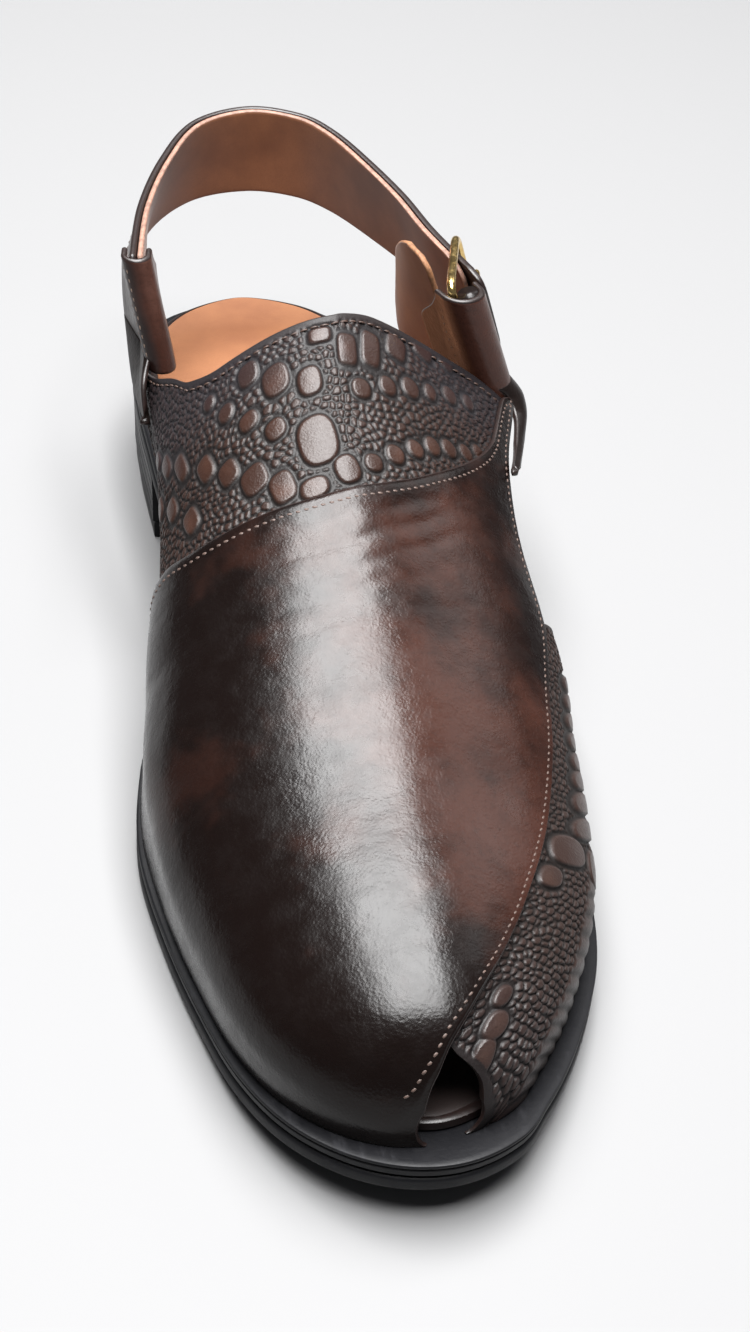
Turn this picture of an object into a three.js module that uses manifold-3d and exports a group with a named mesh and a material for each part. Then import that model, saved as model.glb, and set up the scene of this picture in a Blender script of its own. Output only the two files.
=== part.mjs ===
// Peshawari chappal, the left shoe of a pair: a leather sandal with a closed smooth vamp, an embossed
// instep panel and side panel, a small toe opening and a buckled ankle strap.
// Millimetres. While it is built, x runs from the inner side (-) to the outer side (+), y from the
// toe tip of the sole (0) to the back of the heel, and z up from the floor.
import * as THREE from 'three';
import { mergeVertices } from 'three/addons/utils/BufferGeometryUtils.js';
import Module from 'manifold-3d';

const wasm = await Module();
wasm.setup();

// Driving sizes
const length = 300;
const ballWidth = 100;
const instep = 64;            // collar peak above the top of the sole
const heelHeight = 20;
const toeSpring = 9;
const outsoleThickness = 4;
const midsoleThickness = 3.7;
const topLift = 5;
const insoleThickness = 3;
const insoleGap = 0.7;        // insole to the inside of the upper
const clear = 0.3;            // between pieces that touch on the real shoe
const wall = 1.8;             // upper with its lining
const vampThickness = 1.4;
const toeLedge = 7;           // bare sole in front of the last
const heelLedge = 3;
const innerLedge = 3;
const outerLedge = 1.6;
const toeCap = 20;            // length over which the toe rises to its full height
const strapWidth = 24;
const strapLeather = 1.8;
const strapLining = 1.5;
const strapSpan = 80;         // inner end to outer end of the strap, across the shoe
const strapDepth = 70;        // strap ends to the back of the strap
const strapHeight = 74.5;     // middle of the strap at its ends, above the floor
const leaf = 1.5;             // tab and chape leather
const wire = 2.2;             // buckle frame

const soleThickness = outsoleThickness + clear + midsoleThickness;
const lastLength = length - toeLedge - heelLedge;

// Tables. Lengths are shares of the named size beside the column.

// sole outline: at (length), inner and outer half width (ballWidth)
const soleOutline = [
  { at: 0.02, inner: 0.182, outer: 0.168 },
  { at: 0.05, inner: 0.279, outer: 0.240 },
  { at: 0.10, inner: 0.366, outer: 0.335 },
  { at: 0.175, inner: 0.432, outer: 0.436 },
  { at: 0.25, inner: 0.476, outer: 0.484 },
  { at: 0.32, inner: 0.502, outer: 0.502 },
  { at: 0.42, inner: 0.472, outer: 0.497 },
  { at: 0.50, inner: 0.388, outer: 0.460 },
  { at: 0.58, inner: 0.347, outer: 0.412 },
  { at: 0.65, inner: 0.326, outer: 0.372 },
  { at: 0.75, inner: 0.335, outer: 0.345 },
  { at: 0.85, inner: 0.343, outer: 0.343 },
  { at: 0.92, inner: 0.325, outer: 0.325 },
  { at: 0.98, inner: 0.198, outer: 0.198 },
];

// sections of the upper: at (lastLength), rise above the sole (instep), ridge sideways (ballWidth),
// innerSwell and outerSwell beyond the sole line (ballWidth), belly height (rise), roundness of the sides
const sections = [
  { at: 0.00, rise: 0.375, ridge: -0.015, innerSwell: 0.008, outerSwell: 0.008, belly: 0.30, inner: 0.50, outer: 0.50 },
  { at: 0.045, rise: 0.415, ridge: -0.015, innerSwell: 0.008, outerSwell: 0.008, belly: 0.30, inner: 0.50, outer: 0.48 },
  { at: 0.08, rise: 0.467, ridge: -0.010, innerSwell: 0.010, outerSwell: 0.008, belly: 0.30, inner: 0.50, outer: 0.46 },
  { at: 0.15, rise: 0.550, ridge: -0.005, innerSwell: 0.010, outerSwell: 0.008, belly: 0.30, inner: 0.50, outer: 0.46 },
  { at: 0.235, rise: 0.623, ridge: 0.000, innerSwell: 0.010, outerSwell: 0.008, belly: 0.31, inner: 0.50, outer: 0.46 },
  { at: 0.32, rise: 0.711, ridge: 0.005, innerSwell: -0.002, outerSwell: 0.013, belly: 0.33, inner: 0.50, outer: 0.45 },
  { at: 0.407, rise: 0.798, ridge: 0.015, innerSwell: -0.008, outerSwell: 0.045, belly: 0.36, inner: 0.48, outer: 0.42 },
  { at: 0.493, rise: 0.861, ridge: 0.030, innerSwell: 0.035, outerSwell: 0.065, belly: 0.38, inner: 0.46, outer: 0.36 },
  { at: 0.579, rise: 0.931, ridge: 0.050, innerSwell: 0.045, outerSwell: 0.120, belly: 0.40, inner: 0.42, outer: 0.28 },
  { at: 0.648, rise: 0.990, ridge: 0.067, innerSwell: 0.050, outerSwell: 0.190, belly: 0.40, inner: 0.36, outer: 0.20 },
  { at: 0.752, rise: 1.030, ridge: 0.075, innerSwell: 0.045, outerSwell: 0.240, belly: 0.40, inner: 0.34, outer: 0.20 },
];

// Lines on the upper. across runs from the outer sole line (0) over the ridge (0.5) to the inner (1).

// outer edge of the vamp: at (lastLength)
const vampEdge = [
  { at: 0.0006, across: 1.00 },
  { at: 0.0014, across: 0.80 },
  { at: 0.005, across: 0.604 },
  { at: 0.0155, across: 0.520 },
  { at: 0.029, across: 0.478 },
  { at: 0.0465, across: 0.435 },
  { at: 0.0765, across: 0.394 },
  { at: 0.114, across: 0.363 },
  { at: 0.158, across: 0.340 },
  { at: 0.2055, across: 0.317 },
  { at: 0.254, across: 0.297 },
  { at: 0.3085, across: 0.278 },
  { at: 0.3685, across: 0.265 },
  { at: 0.42, across: 0.252 },
  { at: 0.476, across: 0.245 },
  { at: 0.528, across: 0.238 },
  { at: 0.579, across: 0.226 },
  { at: 0.631, across: 0.205 },
  { at: 0.655, across: 0.193 },
];

// back edge of the vamp, over the instep panel: at (lastLength)
const vampBack = [
  { across: 0.193, at: 0.662 },
  { across: 0.215, at: 0.654 },
  { across: 0.254, at: 0.593 },
  { across: 0.303, at: 0.555 },
  { across: 0.366, at: 0.523 },
  { across: 0.419, at: 0.504 },
  { across: 0.470, at: 0.494 },
  { across: 0.564, at: 0.4865 },
  { across: 0.658, at: 0.488 },
  { across: 0.715, at: 0.4915 },
  { across: 0.79, at: 0.503 },
  { across: 1.00, at: 0.514 },
];

// front edge of the side panel and of the lining at the toe opening: back from the toe (toeCap)
const toeOpening = [
  { across: 0.00, back: 0.035 },
  { across: 0.27, back: 0.110 },
  { across: 0.37, back: 0.220 },
  { across: 0.458, back: 0.340 },
  { across: 0.479, back: 0.400 },
  { across: 0.52, back: 0.245 },
  { across: 0.604, back: 0.095 },
  { across: 0.82, back: 0.030 },
  { across: 1.00, back: 0.018 },
];

// back edge of the side panel: at (lastLength)
const sidePanelBack = [
  { across: 0.00, at: 0.480 },
  { across: 0.12, at: 0.455 },
  { across: 0.258, at: 0.416 },
];

// back edge of the instep panel: share is counted from the free edge of the vamp to the inner sole line
const collar = [
  { share: 0.00, at: 0.656 },
  { share: 0.085, at: 0.655 },
  { share: 0.145, at: 0.654 },
  { share: 0.27, at: 0.653 },
  { share: 0.34, at: 0.646 },
  { share: 0.39, at: 0.643 },
  { share: 0.53, at: 0.644 },
  { share: 0.60, at: 0.646 },
  { share: 0.67, at: 0.660 },
  { share: 0.71, at: 0.683 },
  { share: 0.76, at: 0.708 },
  { share: 0.80, at: 0.735 },
  { share: 0.83, at: 0.750 },
  { share: 0.87, at: 0.742 },
  { share: 0.91, at: 0.700 },
  { share: 0.95, at: 0.664 },
  { share: 1.00, at: 0.640 },
];

// ankle strap seen from above: x (strapSpan), back from its ends (strapDepth),
// lift (strapWidth) and how far its lower edge leans outwards (strapWidth)
const strapCourse = [
  { x: -0.431, back: 0.020, lift: 0.00, lean: -0.100 },
  { x: -0.421, back: 0.380, lift: 0.02, lean: 0.070 },
  { x: -0.345, back: 0.706, lift: 0.07, lean: 0.150 },
  { x: -0.195, back: 0.938, lift: 0.13, lean: 0.080 },
  { x: 0.005, back: 1.020, lift: 0.15, lean: 0.020 },
  { x: 0.174, back: 0.965, lift: 0.14, lean: 0.030 },
  { x: 0.277, back: 0.840, lift: 0.12, lean: 0.060 },
  { x: 0.378, back: 0.630, lift: 0.08, lean: 0.110 },
  { x: 0.468, back: 0.390, lift: 0.04, lean: 0.160 },
  { x: 0.525, back: 0.130, lift: 0.01, lean: 0.170 },
  { x: 0.617, back: -0.198, lift: 0.00, lean: 0.180 },
];
const strapEnds = 0.75 * length;    // y where the strap table counts from

// Curves and small helpers

const mix = (a, b, t) => a + (b - a) * t;
const clamp = (t) => Math.min(1, Math.max(0, t));
const smooth = (t) => clamp(t) ** 2 * (3 - 2 * clamp(t));

// smooth curve through a table that keeps its rises and falls
function read(table, key, column, at) {
  const last = table.length - 1;
  if (at <= table[0][key]) return table[0][column];
  if (at >= table[last][key]) return table[last][column];
  const slope = (i) => (table[i + 1][column] - table[i][column]) / (table[i + 1][key] - table[i][key]);
  const tangent = (i) => {
    if (i === 0) return slope(0);
    if (i === last) return slope(last - 1);
    const product = slope(i - 1) * slope(i);
    return product <= 0 ? 0 : 2 * product / (slope(i - 1) + slope(i));
  };
  const i = table.findLastIndex((row) => row[key] <= at);
  const step = table[i + 1][key] - table[i][key];
  const t = (at - table[i][key]) / step;
  const a = table[i][column];
  const b = table[i + 1][column];
  const curveIn = t * (1 - t) ** 2 * step * tangent(i);
  const curveOut = t * t * (t - 1) * step * tangent(i + 1);
  return a + (b - a) * t * t * (3 - 2 * t) + curveIn + curveOut;
}

// round tapers to zero at both ends of the shoe, as an ellipse does
const round = (at) => 2 * Math.sqrt(Math.max(0, at * (1 - at)));
const fullness = soleOutline.map((row) => ({
  at: row.at,
  inner: row.inner / round(row.at),
  outer: row.outer / round(row.at),
}));

// side is +1 on the outer side of the shoe and -1 on the inner side
const sideName = (side) => (side > 0 ? 'outer' : 'inner');
const reach = (side, at) => ballWidth * round(at) * read(fullness, 'at', sideName(side), at);
const centreLine = (at) => -0.015 * ballWidth * Math.max(0, 1 - at / 0.2) ** 2;

// height of the sole's lower face, and of its top
const ballFront = 0.283 * length;
const ballBack = 0.367 * length;
const heelBreast = 0.755 * length;
function underside(y) {
  const spring = toeSpring * Math.max(0, 1 - y / ballFront) ** 1.8;
  return spring + heelHeight * smooth((y - ballBack) / (heelBreast - 0.01 * length - ballBack));
}
const seat = (y) => underside(y) + soleThickness;

// a point of the upper: at along the last, across over the foot, lift off the panels' outer face
const bellyShare = 0.28;
const softCorner = 10;
function lastPoint(at, across, lift) {
  const side = across < 0.5 ? 1 : -1;
  const up = 2 * (side > 0 ? across : 1 - across);
  const y = toeLedge - lift + at * (lastLength + lift);
  const base = seat(y) + clear;
  const back = at * lastLength;
  const cap = Math.sqrt(Math.max(0, 1 - Math.max(0, 1 - back / toeCap) ** 2));
  const ledge = side > 0 ? outerLedge : innerLedge;
  const edge = reach(side, at) * (1 - 2 * ledge / ballWidth);
  const grow = edge > 0 ? lift * edge / Math.hypot(edge, softCorner) : 0;
  const swell = ballWidth * read(sections, 'at', side > 0 ? 'outerSwell' : 'innerSwell', at) * cap;
  const foot = edge + grow;
  const belly = edge + swell + grow;
  const top = base + cap * (instep * read(sections, 'at', 'rise', at) - clear + lift);
  const middle = centreLine(at);
  const ridge = mix(middle, ballWidth * read(sections, 'at', 'ridge', at), cap);
  const bellyHeight = mix(base, top, read(sections, 'at', 'belly', at));
  if (up < bellyShare) {
    const t = up / bellyShare;
    const x = (1 - t) ** 2 * foot + (1 - (1 - t) ** 2) * belly;
    const z = 2 * t * (1 - t) * mix(base, bellyHeight, 0.35) + (1 - t) ** 2 * base + t * t * bellyHeight;
    return new THREE.Vector3(middle + side * x, y, z);
  }
  const t = (up - bellyShare) / (1 - bellyShare);
  const sideways = middle + side * belly - ridge;
  const fill = read(sections, 'at', sideName(side), at);
  const x = sideways * ((1 - t) ** 3 + 3 * t * (1 - t) ** 2 + 3 * t * t * (1 - t) * fill);
  const z = (3 * t * (1 - t) ** 2 * fill + 3 * t * t * (1 - t) + t ** 3) * (top - bellyHeight);
  return new THREE.Vector3(ridge + x, y, bellyHeight + z);
}

// Solids

// closed mesh from points and triangles, turned so that its faces point out
function solid(points, triangles) {
  const geometry = new THREE.BufferGeometry();
  geometry.setAttribute('position', new THREE.Float32BufferAttribute(points.flatMap((p) => p.toArray()), 3));
  let volume = 0;
  for (const [a, b, c] of triangles) {
    volume += points[a].dot(new THREE.Vector3().crossVectors(points[b], points[c]));
  }
  geometry.setIndex(triangles.flatMap(([a, b, c]) => (volume > 0 ? [a, b, c] : [a, c, b])));
  return geometry;
}

// two faces of a sheet with walls along its open edges
function sheet(nodes, quads, outerPoint, innerPoint) {
  const count = nodes.length;
  const points = [...nodes.map(outerPoint), ...nodes.map(innerPoint)];
  const triangles = [];
  const quad = (a, b, c, d) => triangles.push([a, b, c], [a, c, d]);
  const edges = new Set();
  for (const corners of quads) {
    const [a, b, c, d] = corners;
    quad(a, b, c, d);
    triangles.push([a + count, c + count, b + count], [a + count, d + count, c + count]);
    corners.forEach((from, i) => edges.add(`${from},${corners[(i + 1) % 4]}`));
  }
  for (const edge of edges) {
    const [from, to] = edge.split(',').map(Number);
    if (!edges.has(`${to},${from}`)) quad(to, from, from + count, to + count);
  }
  return solid(points, triangles);
}

// grid of nodes, rows by columns, as a sheet
function grid(rows, outerPoint, innerPoint) {
  const columns = rows[0].length;
  const quads = [];
  for (let j = 0; j + 1 < rows.length; j += 1) {
    for (let i = 0; i + 1 < columns; i += 1) {
      const k = j * columns + i;
      quads.push([k, k + 1, k + columns + 1, k + columns]);
    }
  }
  return sheet(rows.flat(), quads, outerPoint, innerPoint);
}

// a rounded bar along a line of points, closed into a ring or with flat ends
function bar(line, radius, closed, sides = 8) {
  const points = [];
  const triangles = [];
  const count = line.length;
  for (let i = 0; i < count; i += 1) {
    const before = line[closed ? (i + count - 1) % count : Math.max(0, i - 1)];
    const after = line[closed ? (i + 1) % count : Math.min(count - 1, i + 1)];
    const along = after.clone().sub(before).normalize();
    const first = new THREE.Vector3(1, 0.2, 0.1).cross(along).normalize();
    const second = along.clone().cross(first);
    for (let k = 0; k < sides; k += 1) {
      const turn = 2 * Math.PI * k / sides;
      const out = first.clone().multiplyScalar(Math.cos(turn)).addScaledVector(second, Math.sin(turn));
      points.push(line[i].clone().addScaledVector(out, radius));
    }
  }
  for (let i = 0; i < (closed ? count : count - 1); i += 1) {
    for (let k = 0; k < sides; k += 1) {
      const a = i * sides + k;
      const b = i * sides + (k + 1) % sides;
      const c = ((i + 1) % count) * sides + k;
      const d = ((i + 1) % count) * sides + (k + 1) % sides;
      triangles.push([a, b, d], [a, d, c]);
    }
  }
  if (!closed) {
    for (let k = 1; k + 1 < sides; k += 1) {
      triangles.push([0, k + 1, k]);
      const end = (count - 1) * sides;
      triangles.push([end, end + k, end + k + 1]);
    }
  }
  return solid(points, triangles);
}

const toBody = (geometry) => {
  const bare = mergeVertices(geometry, 1e-3);
  const vertProperties = new Float32Array(bare.getAttribute('position').array);
  const triVerts = new Uint32Array(bare.getIndex().array);
  return new wasm.Manifold(new wasm.Mesh({ numProp: 3, vertProperties, triVerts }));
};
const fromBody = (body) => {
  const mesh = body.getMesh();
  const geometry = new THREE.BufferGeometry();
  geometry.setAttribute('position', new THREE.BufferAttribute(mesh.vertProperties, 3));
  geometry.setIndex(new THREE.BufferAttribute(mesh.triVerts, 1));
  return geometry;
};
// one body out of two that overlap, and a body with a hole
const joined = (first, second) => fromBody(toBody(first).add(toBody(second)));
const carved = (whole, hole) => fromBody(toBody(whole).subtract(toBody(hole)));

// Sole

// a point on the edge of the sole, turn 0 at the toe and PI at the heel, moved in by inset
function soleEdge(side, turn, inset) {
  const place = (angle) => {
    const at = (1 - Math.cos(angle)) / 2;
    return new THREE.Vector2(centreLine(at) + side * reach(side, at), at * length);
  };
  const here = place(turn);
  if (turn === 0) return here.add(new THREE.Vector2(0, inset));
  if (turn === Math.PI) return here.add(new THREE.Vector2(0, -inset));
  const step = 0.01;
  const ahead = place(Math.min(Math.PI, turn + step)).sub(place(turn - step)).normalize();
  return here.addScaledVector(new THREE.Vector2(-ahead.y, ahead.x), side * inset);
}

// a layer between rings, each an outline and a height over the floor, from the bottom ring up
function layer(rings, turns, place) {
  const points = [];
  const triangles = [];
  const quad = (a, b, c, d) => {
    if (a !== b && a !== c && b !== c) triangles.push([a, b, c]);
    if (a !== c && a !== d && c !== d) triangles.push([a, c, d]);
  };
  const openFront = turns[0] > 0;
  const size = openFront ? 2 * turns.length - 1 : 2 * turns.length - 2;
  const outer = (i) => i;
  const inner = (i) => {
    if (i === turns.length - 1 || (i === 0 && !openFront)) return i;
    return 2 * turns.length - 2 - i;
  };
  for (const ring of rings) {
    const at = (side, turn) => {
      const edge = place(side, turn, ring.inset);
      points.push(new THREE.Vector3(edge.x, edge.y, ring.height(edge.y)));
    };
    turns.forEach((turn) => at(1, turn));
    turns.slice(openFront ? 0 : 1, -1).reverse().forEach((turn) => at(-1, turn));
  }
  for (let r = 0; r + 1 < rings.length; r += 1) {
    for (let i = 0; i < size; i += 1) {
      const next = (i + 1) % size;
      quad(r * size + i, r * size + next, (r + 1) * size + next, (r + 1) * size + i);
    }
  }
  const lid = (rings.length - 1) * size;
  for (let i = 0; i + 1 < turns.length; i += 1) {
    quad(outer(i), inner(i), inner(i + 1), outer(i + 1));
    quad(lid + outer(i), lid + outer(i + 1), lid + inner(i + 1), lid + inner(i));
  }
  return solid(points, triangles);
}

const soleSteps = 60;
const allTurns = Array.from({ length: soleSteps + 1 }, (_, i) => Math.PI * i / soleSteps);
const breastTurn = Math.acos(1 - 2 * heelBreast / length);
const heelSteps = 16;
const heelTurns = Array.from({ length: heelSteps + 1 }, (_, i) => mix(breastTurn, Math.PI, i / heelSteps));

function outsole() {
  const over = (rise) => (y) => underside(y) + rise;
  return layer([
    { inset: 1, height: over(0) },
    { inset: 0, height: over(1) },
    { inset: 0, height: over(outsoleThickness - 0.4) },
    { inset: 0.6, height: over(outsoleThickness) },
  ], allTurns, soleEdge);
}

function midsole() {
  const under = (drop) => (y) => seat(y) - drop;
  return layer([
    { inset: 0.6, height: under(midsoleThickness) },
    { inset: 0.1, height: under(midsoleThickness - 0.4) },
    { inset: 0.1, height: under(1.6) },
    { inset: 0.5, height: under(1.3) },
    { inset: 0, height: under(1) },
    { inset: 0, height: under(0.3) },
    { inset: 0.4, height: under(0) },
  ], allTurns, soleEdge);
}

function heelStack() {
  return layer([
    { inset: 1, height: () => topLift + clear },
    { inset: 0.4, height: () => mix(topLift, heelHeight, 0.5) },
    { inset: 0.2, height: () => heelHeight - clear },
  ], heelTurns, soleEdge);
}

function heelTopLift() {
  return layer([
    { inset: 1.6, height: () => 0 },
    { inset: 0.9, height: () => 0.8 },
    { inset: 0.9, height: () => topLift },
  ], heelTurns, soleEdge);
}

function insole() {
  const place = (side, turn, inset) => {
    const across = side > 0 ? 0 : 1;
    return lastPoint((1 - Math.cos(turn)) / 2, across, -wall - insoleGap - inset);
  };
  return layer([
    { inset: 0, height: (y) => seat(y) + clear },
    { inset: 0, height: (y) => seat(y) + insoleThickness - 0.4 },
    { inset: 0.8, height: (y) => seat(y) + insoleThickness },
  ], allTurns, place);
}

// Upper

const panelBackTop = sidePanelBack[2];

// the free lower edge of the lining, just inside the vamp's edge, behind the side panel
function freeEdge(at) {
  if (at <= panelBackTop.at) return panelBackTop.across;
  return Math.min(panelBackTop.across, read(vampEdge, 'at', 'across', at) + 0.008);
}

// one wall: side panel, lining under the vamp and instep panel, open at toe, collar, side and below
function upper() {
  const lower = 6;
  const upperRows = 20;
  const front = 13;
  const rear = 9;
  const nodes = [];
  const index = new Map();
  const node = (row, column) => {
    const name = `${row},${column}`;
    if (index.has(name)) return index.get(name);
    const share = Math.max(0, row) / upperRows;
    const startAcross = row < 0 ? panelBackTop.across * (1 + row / lower)
      : mix(panelBackTop.across, 1, share);
    const start = read(toeOpening, 'across', 'back', startAcross) * toeCap / lastLength;
    const backEdge = row < 0 ? read(sidePanelBack, 'across', 'at', startAcross) : panelBackTop.at;
    let at = mix(start, backEdge, (column / front) ** 1.6);
    if (column > front) {
      at = mix(panelBackTop.at, read(collar, 'share', 'at', share), (column - front) / rear);
    }
    const across = row < 0 ? startAcross : mix(freeEdge(at), 1, share);
    nodes.push({ at, across });
    index.set(name, nodes.length - 1);
    return nodes.length - 1;
  };
  const quads = [];
  for (let row = -lower; row < upperRows; row += 1) {
    const columns = row < 0 ? front : front + rear;
    for (let column = 0; column < columns; column += 1) {
      const near = [node(row, column), node(row, column + 1)];
      quads.push([...near, node(row + 1, column + 1), node(row + 1, column)]);
    }
  }
  return sheet(nodes, quads, (n) => lastPoint(n.at, n.across, 0), (n) => lastPoint(n.at, n.across, -wall));
}

// smooth vamp over the panels, from its outer edge to its back edge
function vamp() {
  const rowCount = 28;
  const columnCount = 20;
  const edgeByAcross = [...vampEdge].reverse();
  const rows = Array.from({ length: rowCount + 1 }, (_, j) => {
    const across = mix(edgeByAcross[0].across, 1, j / rowCount);
    const start = read(edgeByAcross, 'across', 'at', across);
    const end = read(vampBack, 'across', 'at', across);
    return Array.from({ length: columnCount + 1 }, (__, i) => (
      { at: mix(start, end, (i / columnCount) ** 1.5), across }
    ));
  });
  const low = clear + 0.15;
  return grid(
    rows,
    (n) => lastPoint(n.at, n.across, low + vampThickness),
    (n) => lastPoint(n.at, n.across, low),
  );
}

// Ankle strap, its tab, chape and buckle

// a place on the strap's middle surface: share from the inner end to the outer, rise from its middle
// line, out from the foot
const strapRows = strapCourse.map((row, i) => ({ ...row, share: i / (strapCourse.length - 1) }));
const strapSpline = (column) => new THREE.SplineCurve(
  strapRows.map((row) => new THREE.Vector2(row.share, row[column])),
);
const strapSplines = {
  x: strapSpline('x'), back: strapSpline('back'), lift: strapSpline('lift'), lean: strapSpline('lean'),
};
function strapMiddle(share) {
  const value = (column) => strapSplines[column].getPoint(share).y;
  return new THREE.Vector3(
    value('x') * strapSpan,
    strapEnds + value('back') * strapDepth,
    strapHeight + value('lift') * strapWidth,
  );
}
function strapPoint(share, rise, out) {
  const step = 0.004;
  const ahead = strapMiddle(clamp(share + step)).sub(strapMiddle(clamp(share - step))).setZ(0).normalize();
  const outward = new THREE.Vector3(-ahead.y, ahead.x, 0);
  const lean = strapSplines.lean.getPoint(share).y;
  return strapMiddle(share)
    .addScaledVector(outward, out - 2 * lean * rise)
    .add(new THREE.Vector3(0, 0, rise));
}
const strapLength = Array.from({ length: 100 }, (_, i) => (
  strapMiddle(i / 100).distanceTo(strapMiddle((i + 1) / 100))
)).reduce((sum, part) => sum + part);

// one layer of the strap, short of its outer end by setback, with the corners there cut round
const liningShort = 6.5;      // the lining stops before the buckle
const strapCorners = [
  { rise: -0.5, cut: 4.5 },
  { rise: -0.4, cut: 0.8 },
  { rise: 0.4, cut: 0.8 },
  { rise: 0.5, cut: 4.5 },
];
function strapBand(from, to, setback) {
  const steps = 38;
  const rows = Array.from({ length: steps + 1 }, (_, j) => (
    strapCorners.map(({ rise, cut }) => (
      { share: j / steps * (1 - (setback + cut) / strapLength), rise: rise * strapWidth }
    ))
  ));
  return grid(rows, (n) => strapPoint(n.share, n.rise, to), (n) => strapPoint(n.share, n.rise, from));
}

// places in front of or behind the strap's two ends: rise from its middle line, rearwards, outwards
function pastEnd(end, rise, rearwards, out) {
  if (rearwards >= 0) return strapPoint(Math.abs(end - rearwards / strapLength), rise, out);
  const step = 0.01;
  const forward = strapMiddle(end).sub(strapMiddle(Math.abs(end - step))).setZ(0).normalize();
  return strapPoint(end, rise, out).addScaledVector(forward, -rearwards);
}

// section of leather folded round the end of a strap, rearwards and outwards. q runs from the end of
// the inner leaf (0) round the front (0.3 to 0.7) to the end of the outer leaf (1). The leaves' upper
// rear corners are cut round
const leafStart = 0.2;
const leafRound = 0.45;
const foldFront = 0.3;
function foldSection(share, radius, innerLeaf, outerLeaf, q) {
  const full = mix(leafStart, 1, smooth(share / leafRound));
  const inner = clamp(1 - q / foldFront) * full;
  const outer = clamp((q - 1 + foldFront) / foldFront) * full;
  const turn = -Math.PI / 2 - Math.PI * clamp((q - foldFront) / (1 - 2 * foldFront));
  return [
    radius * Math.cos(turn) + innerLeaf.rear * inner + outerLeaf.rear * outer,
    radius * Math.sin(turn) - innerLeaf.spread * inner ** 1.5 + outerLeaf.spread * outer ** 1.5,
  ];
}

// the folded leather. place gives a point from a share down the fold, rearwards and outwards
function fold(place, half, innerLeaf, outerLeaf, thickness) {
  const steps = 6;
  const round = Array.from({ length: 9 }, (_, k) => foldFront + (1 - 2 * foldFront) * k / 8);
  const rows = Array.from({ length: steps + 1 }, (_, j) => (
    [0, 0.15, ...round, 0.85, 1].map((q) => ({ share: j / steps, q }))
  ));
  const face = (radius) => (n) => place(n.share, ...foldSection(n.share, radius, innerLeaf, outerLeaf, n.q));
  return grid(rows, face(half + thickness), face(half));
}

// lower end of a fold's outer leaf: it starts at the fold from q on and narrows to a tip on the upper,
// between a front line and a rear line that swell off the straight way there (strapWidth)
const tongueStart = 0.9;
const tongueProud = 0.08;
function tongue(place, radius, outerLeaf, q, lines, thickness) {
  const steps = 6;
  const none = { rear: 0, spread: 0 };
  const section = (share) => foldSection(tongueStart, radius, none, outerLeaf, mix(q, 1, share));
  const top = (share) => place(tongueStart, ...section(share));
  const line = (from, { tip, swell }, t) => from.clone().lerp(tip, t)
    .add(new THREE.Vector3(...['x', 'y', 'z'].map((axis) => read(swell, 't', axis, t) * strapWidth)));
  const place3 = (t, share) => {
    const curl = top(share).sub(top(0).lerp(top(1), share));
    return line(top(0), lines.front, t).lerp(line(top(1), lines.rear, t), share)
      .addScaledVector(curl, 1 - 0.75 * smooth(t));
  };
  const normal = (t, share) => {
    const step = 0.01;
    const down = place3(clamp(t + step), share).sub(place3(clamp(t - step), share));
    const over = place3(t, clamp(share + step)).sub(place3(t, clamp(share - step)));
    return down.cross(over).normalize().multiplyScalar(lines.side);
  };
  const rows = Array.from({ length: steps + 1 }, (_, j) => (
    Array.from({ length: steps + 1 }, (__, i) => ({ t: j / steps, share: i / steps }))
  ));
  const face = (out) => (n) => place3(n.t, n.share).addScaledVector(normal(n.t, n.share), out);
  return grid(rows, face(tongueProud), face(-thickness));
}

// the tab sewn on the inner end of the strap
const tabTop = strapWidth / 2 + 0.5;
const tabDrop = strapWidth + 3.5;
const tabHalf = Math.max(strapLeather, strapLining) + clear / 2 + clear;
const tabTilt = 7;
const tabInnerLeaf = { rear: 0.54 * strapWidth, spread: 0 };
const tabOuterLeaf = { rear: 0.71 * strapWidth, spread: 0.8 };
const tabPlace = (share, rearwards, out) => (
  pastEnd(0, tabTop - tabDrop * share, rearwards - tabTilt * share, out)
);
const tabTongue = {
  side: -1,
  front: {
    tip: lastPoint(0.692, 0.871, leaf + clear),
    swell: [
      { t: 0, x: 0, y: 0, z: 0 },
      { t: 0.5, x: -0.045, y: -0.021, z: 0.093 },
      { t: 1, x: 0, y: 0, z: 0 },
    ],
  },
  rear: {
    tip: lastPoint(0.695, 0.874, leaf + clear),
    swell: [
      { t: 0, x: 0, y: 0, z: 0 },
      { t: 0.5, x: -0.028, y: -0.091, z: -0.123 },
      { t: 1, x: 0, y: 0, z: 0 },
    ],
  },
};
function strapTab() {
  return joined(
    fold(tabPlace, tabHalf, tabInnerLeaf, tabOuterLeaf, leaf),
    tongue(tabPlace, tabHalf + leaf, tabOuterLeaf, 0.62, tabTongue, leaf - 0.2),
  );
}

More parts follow.
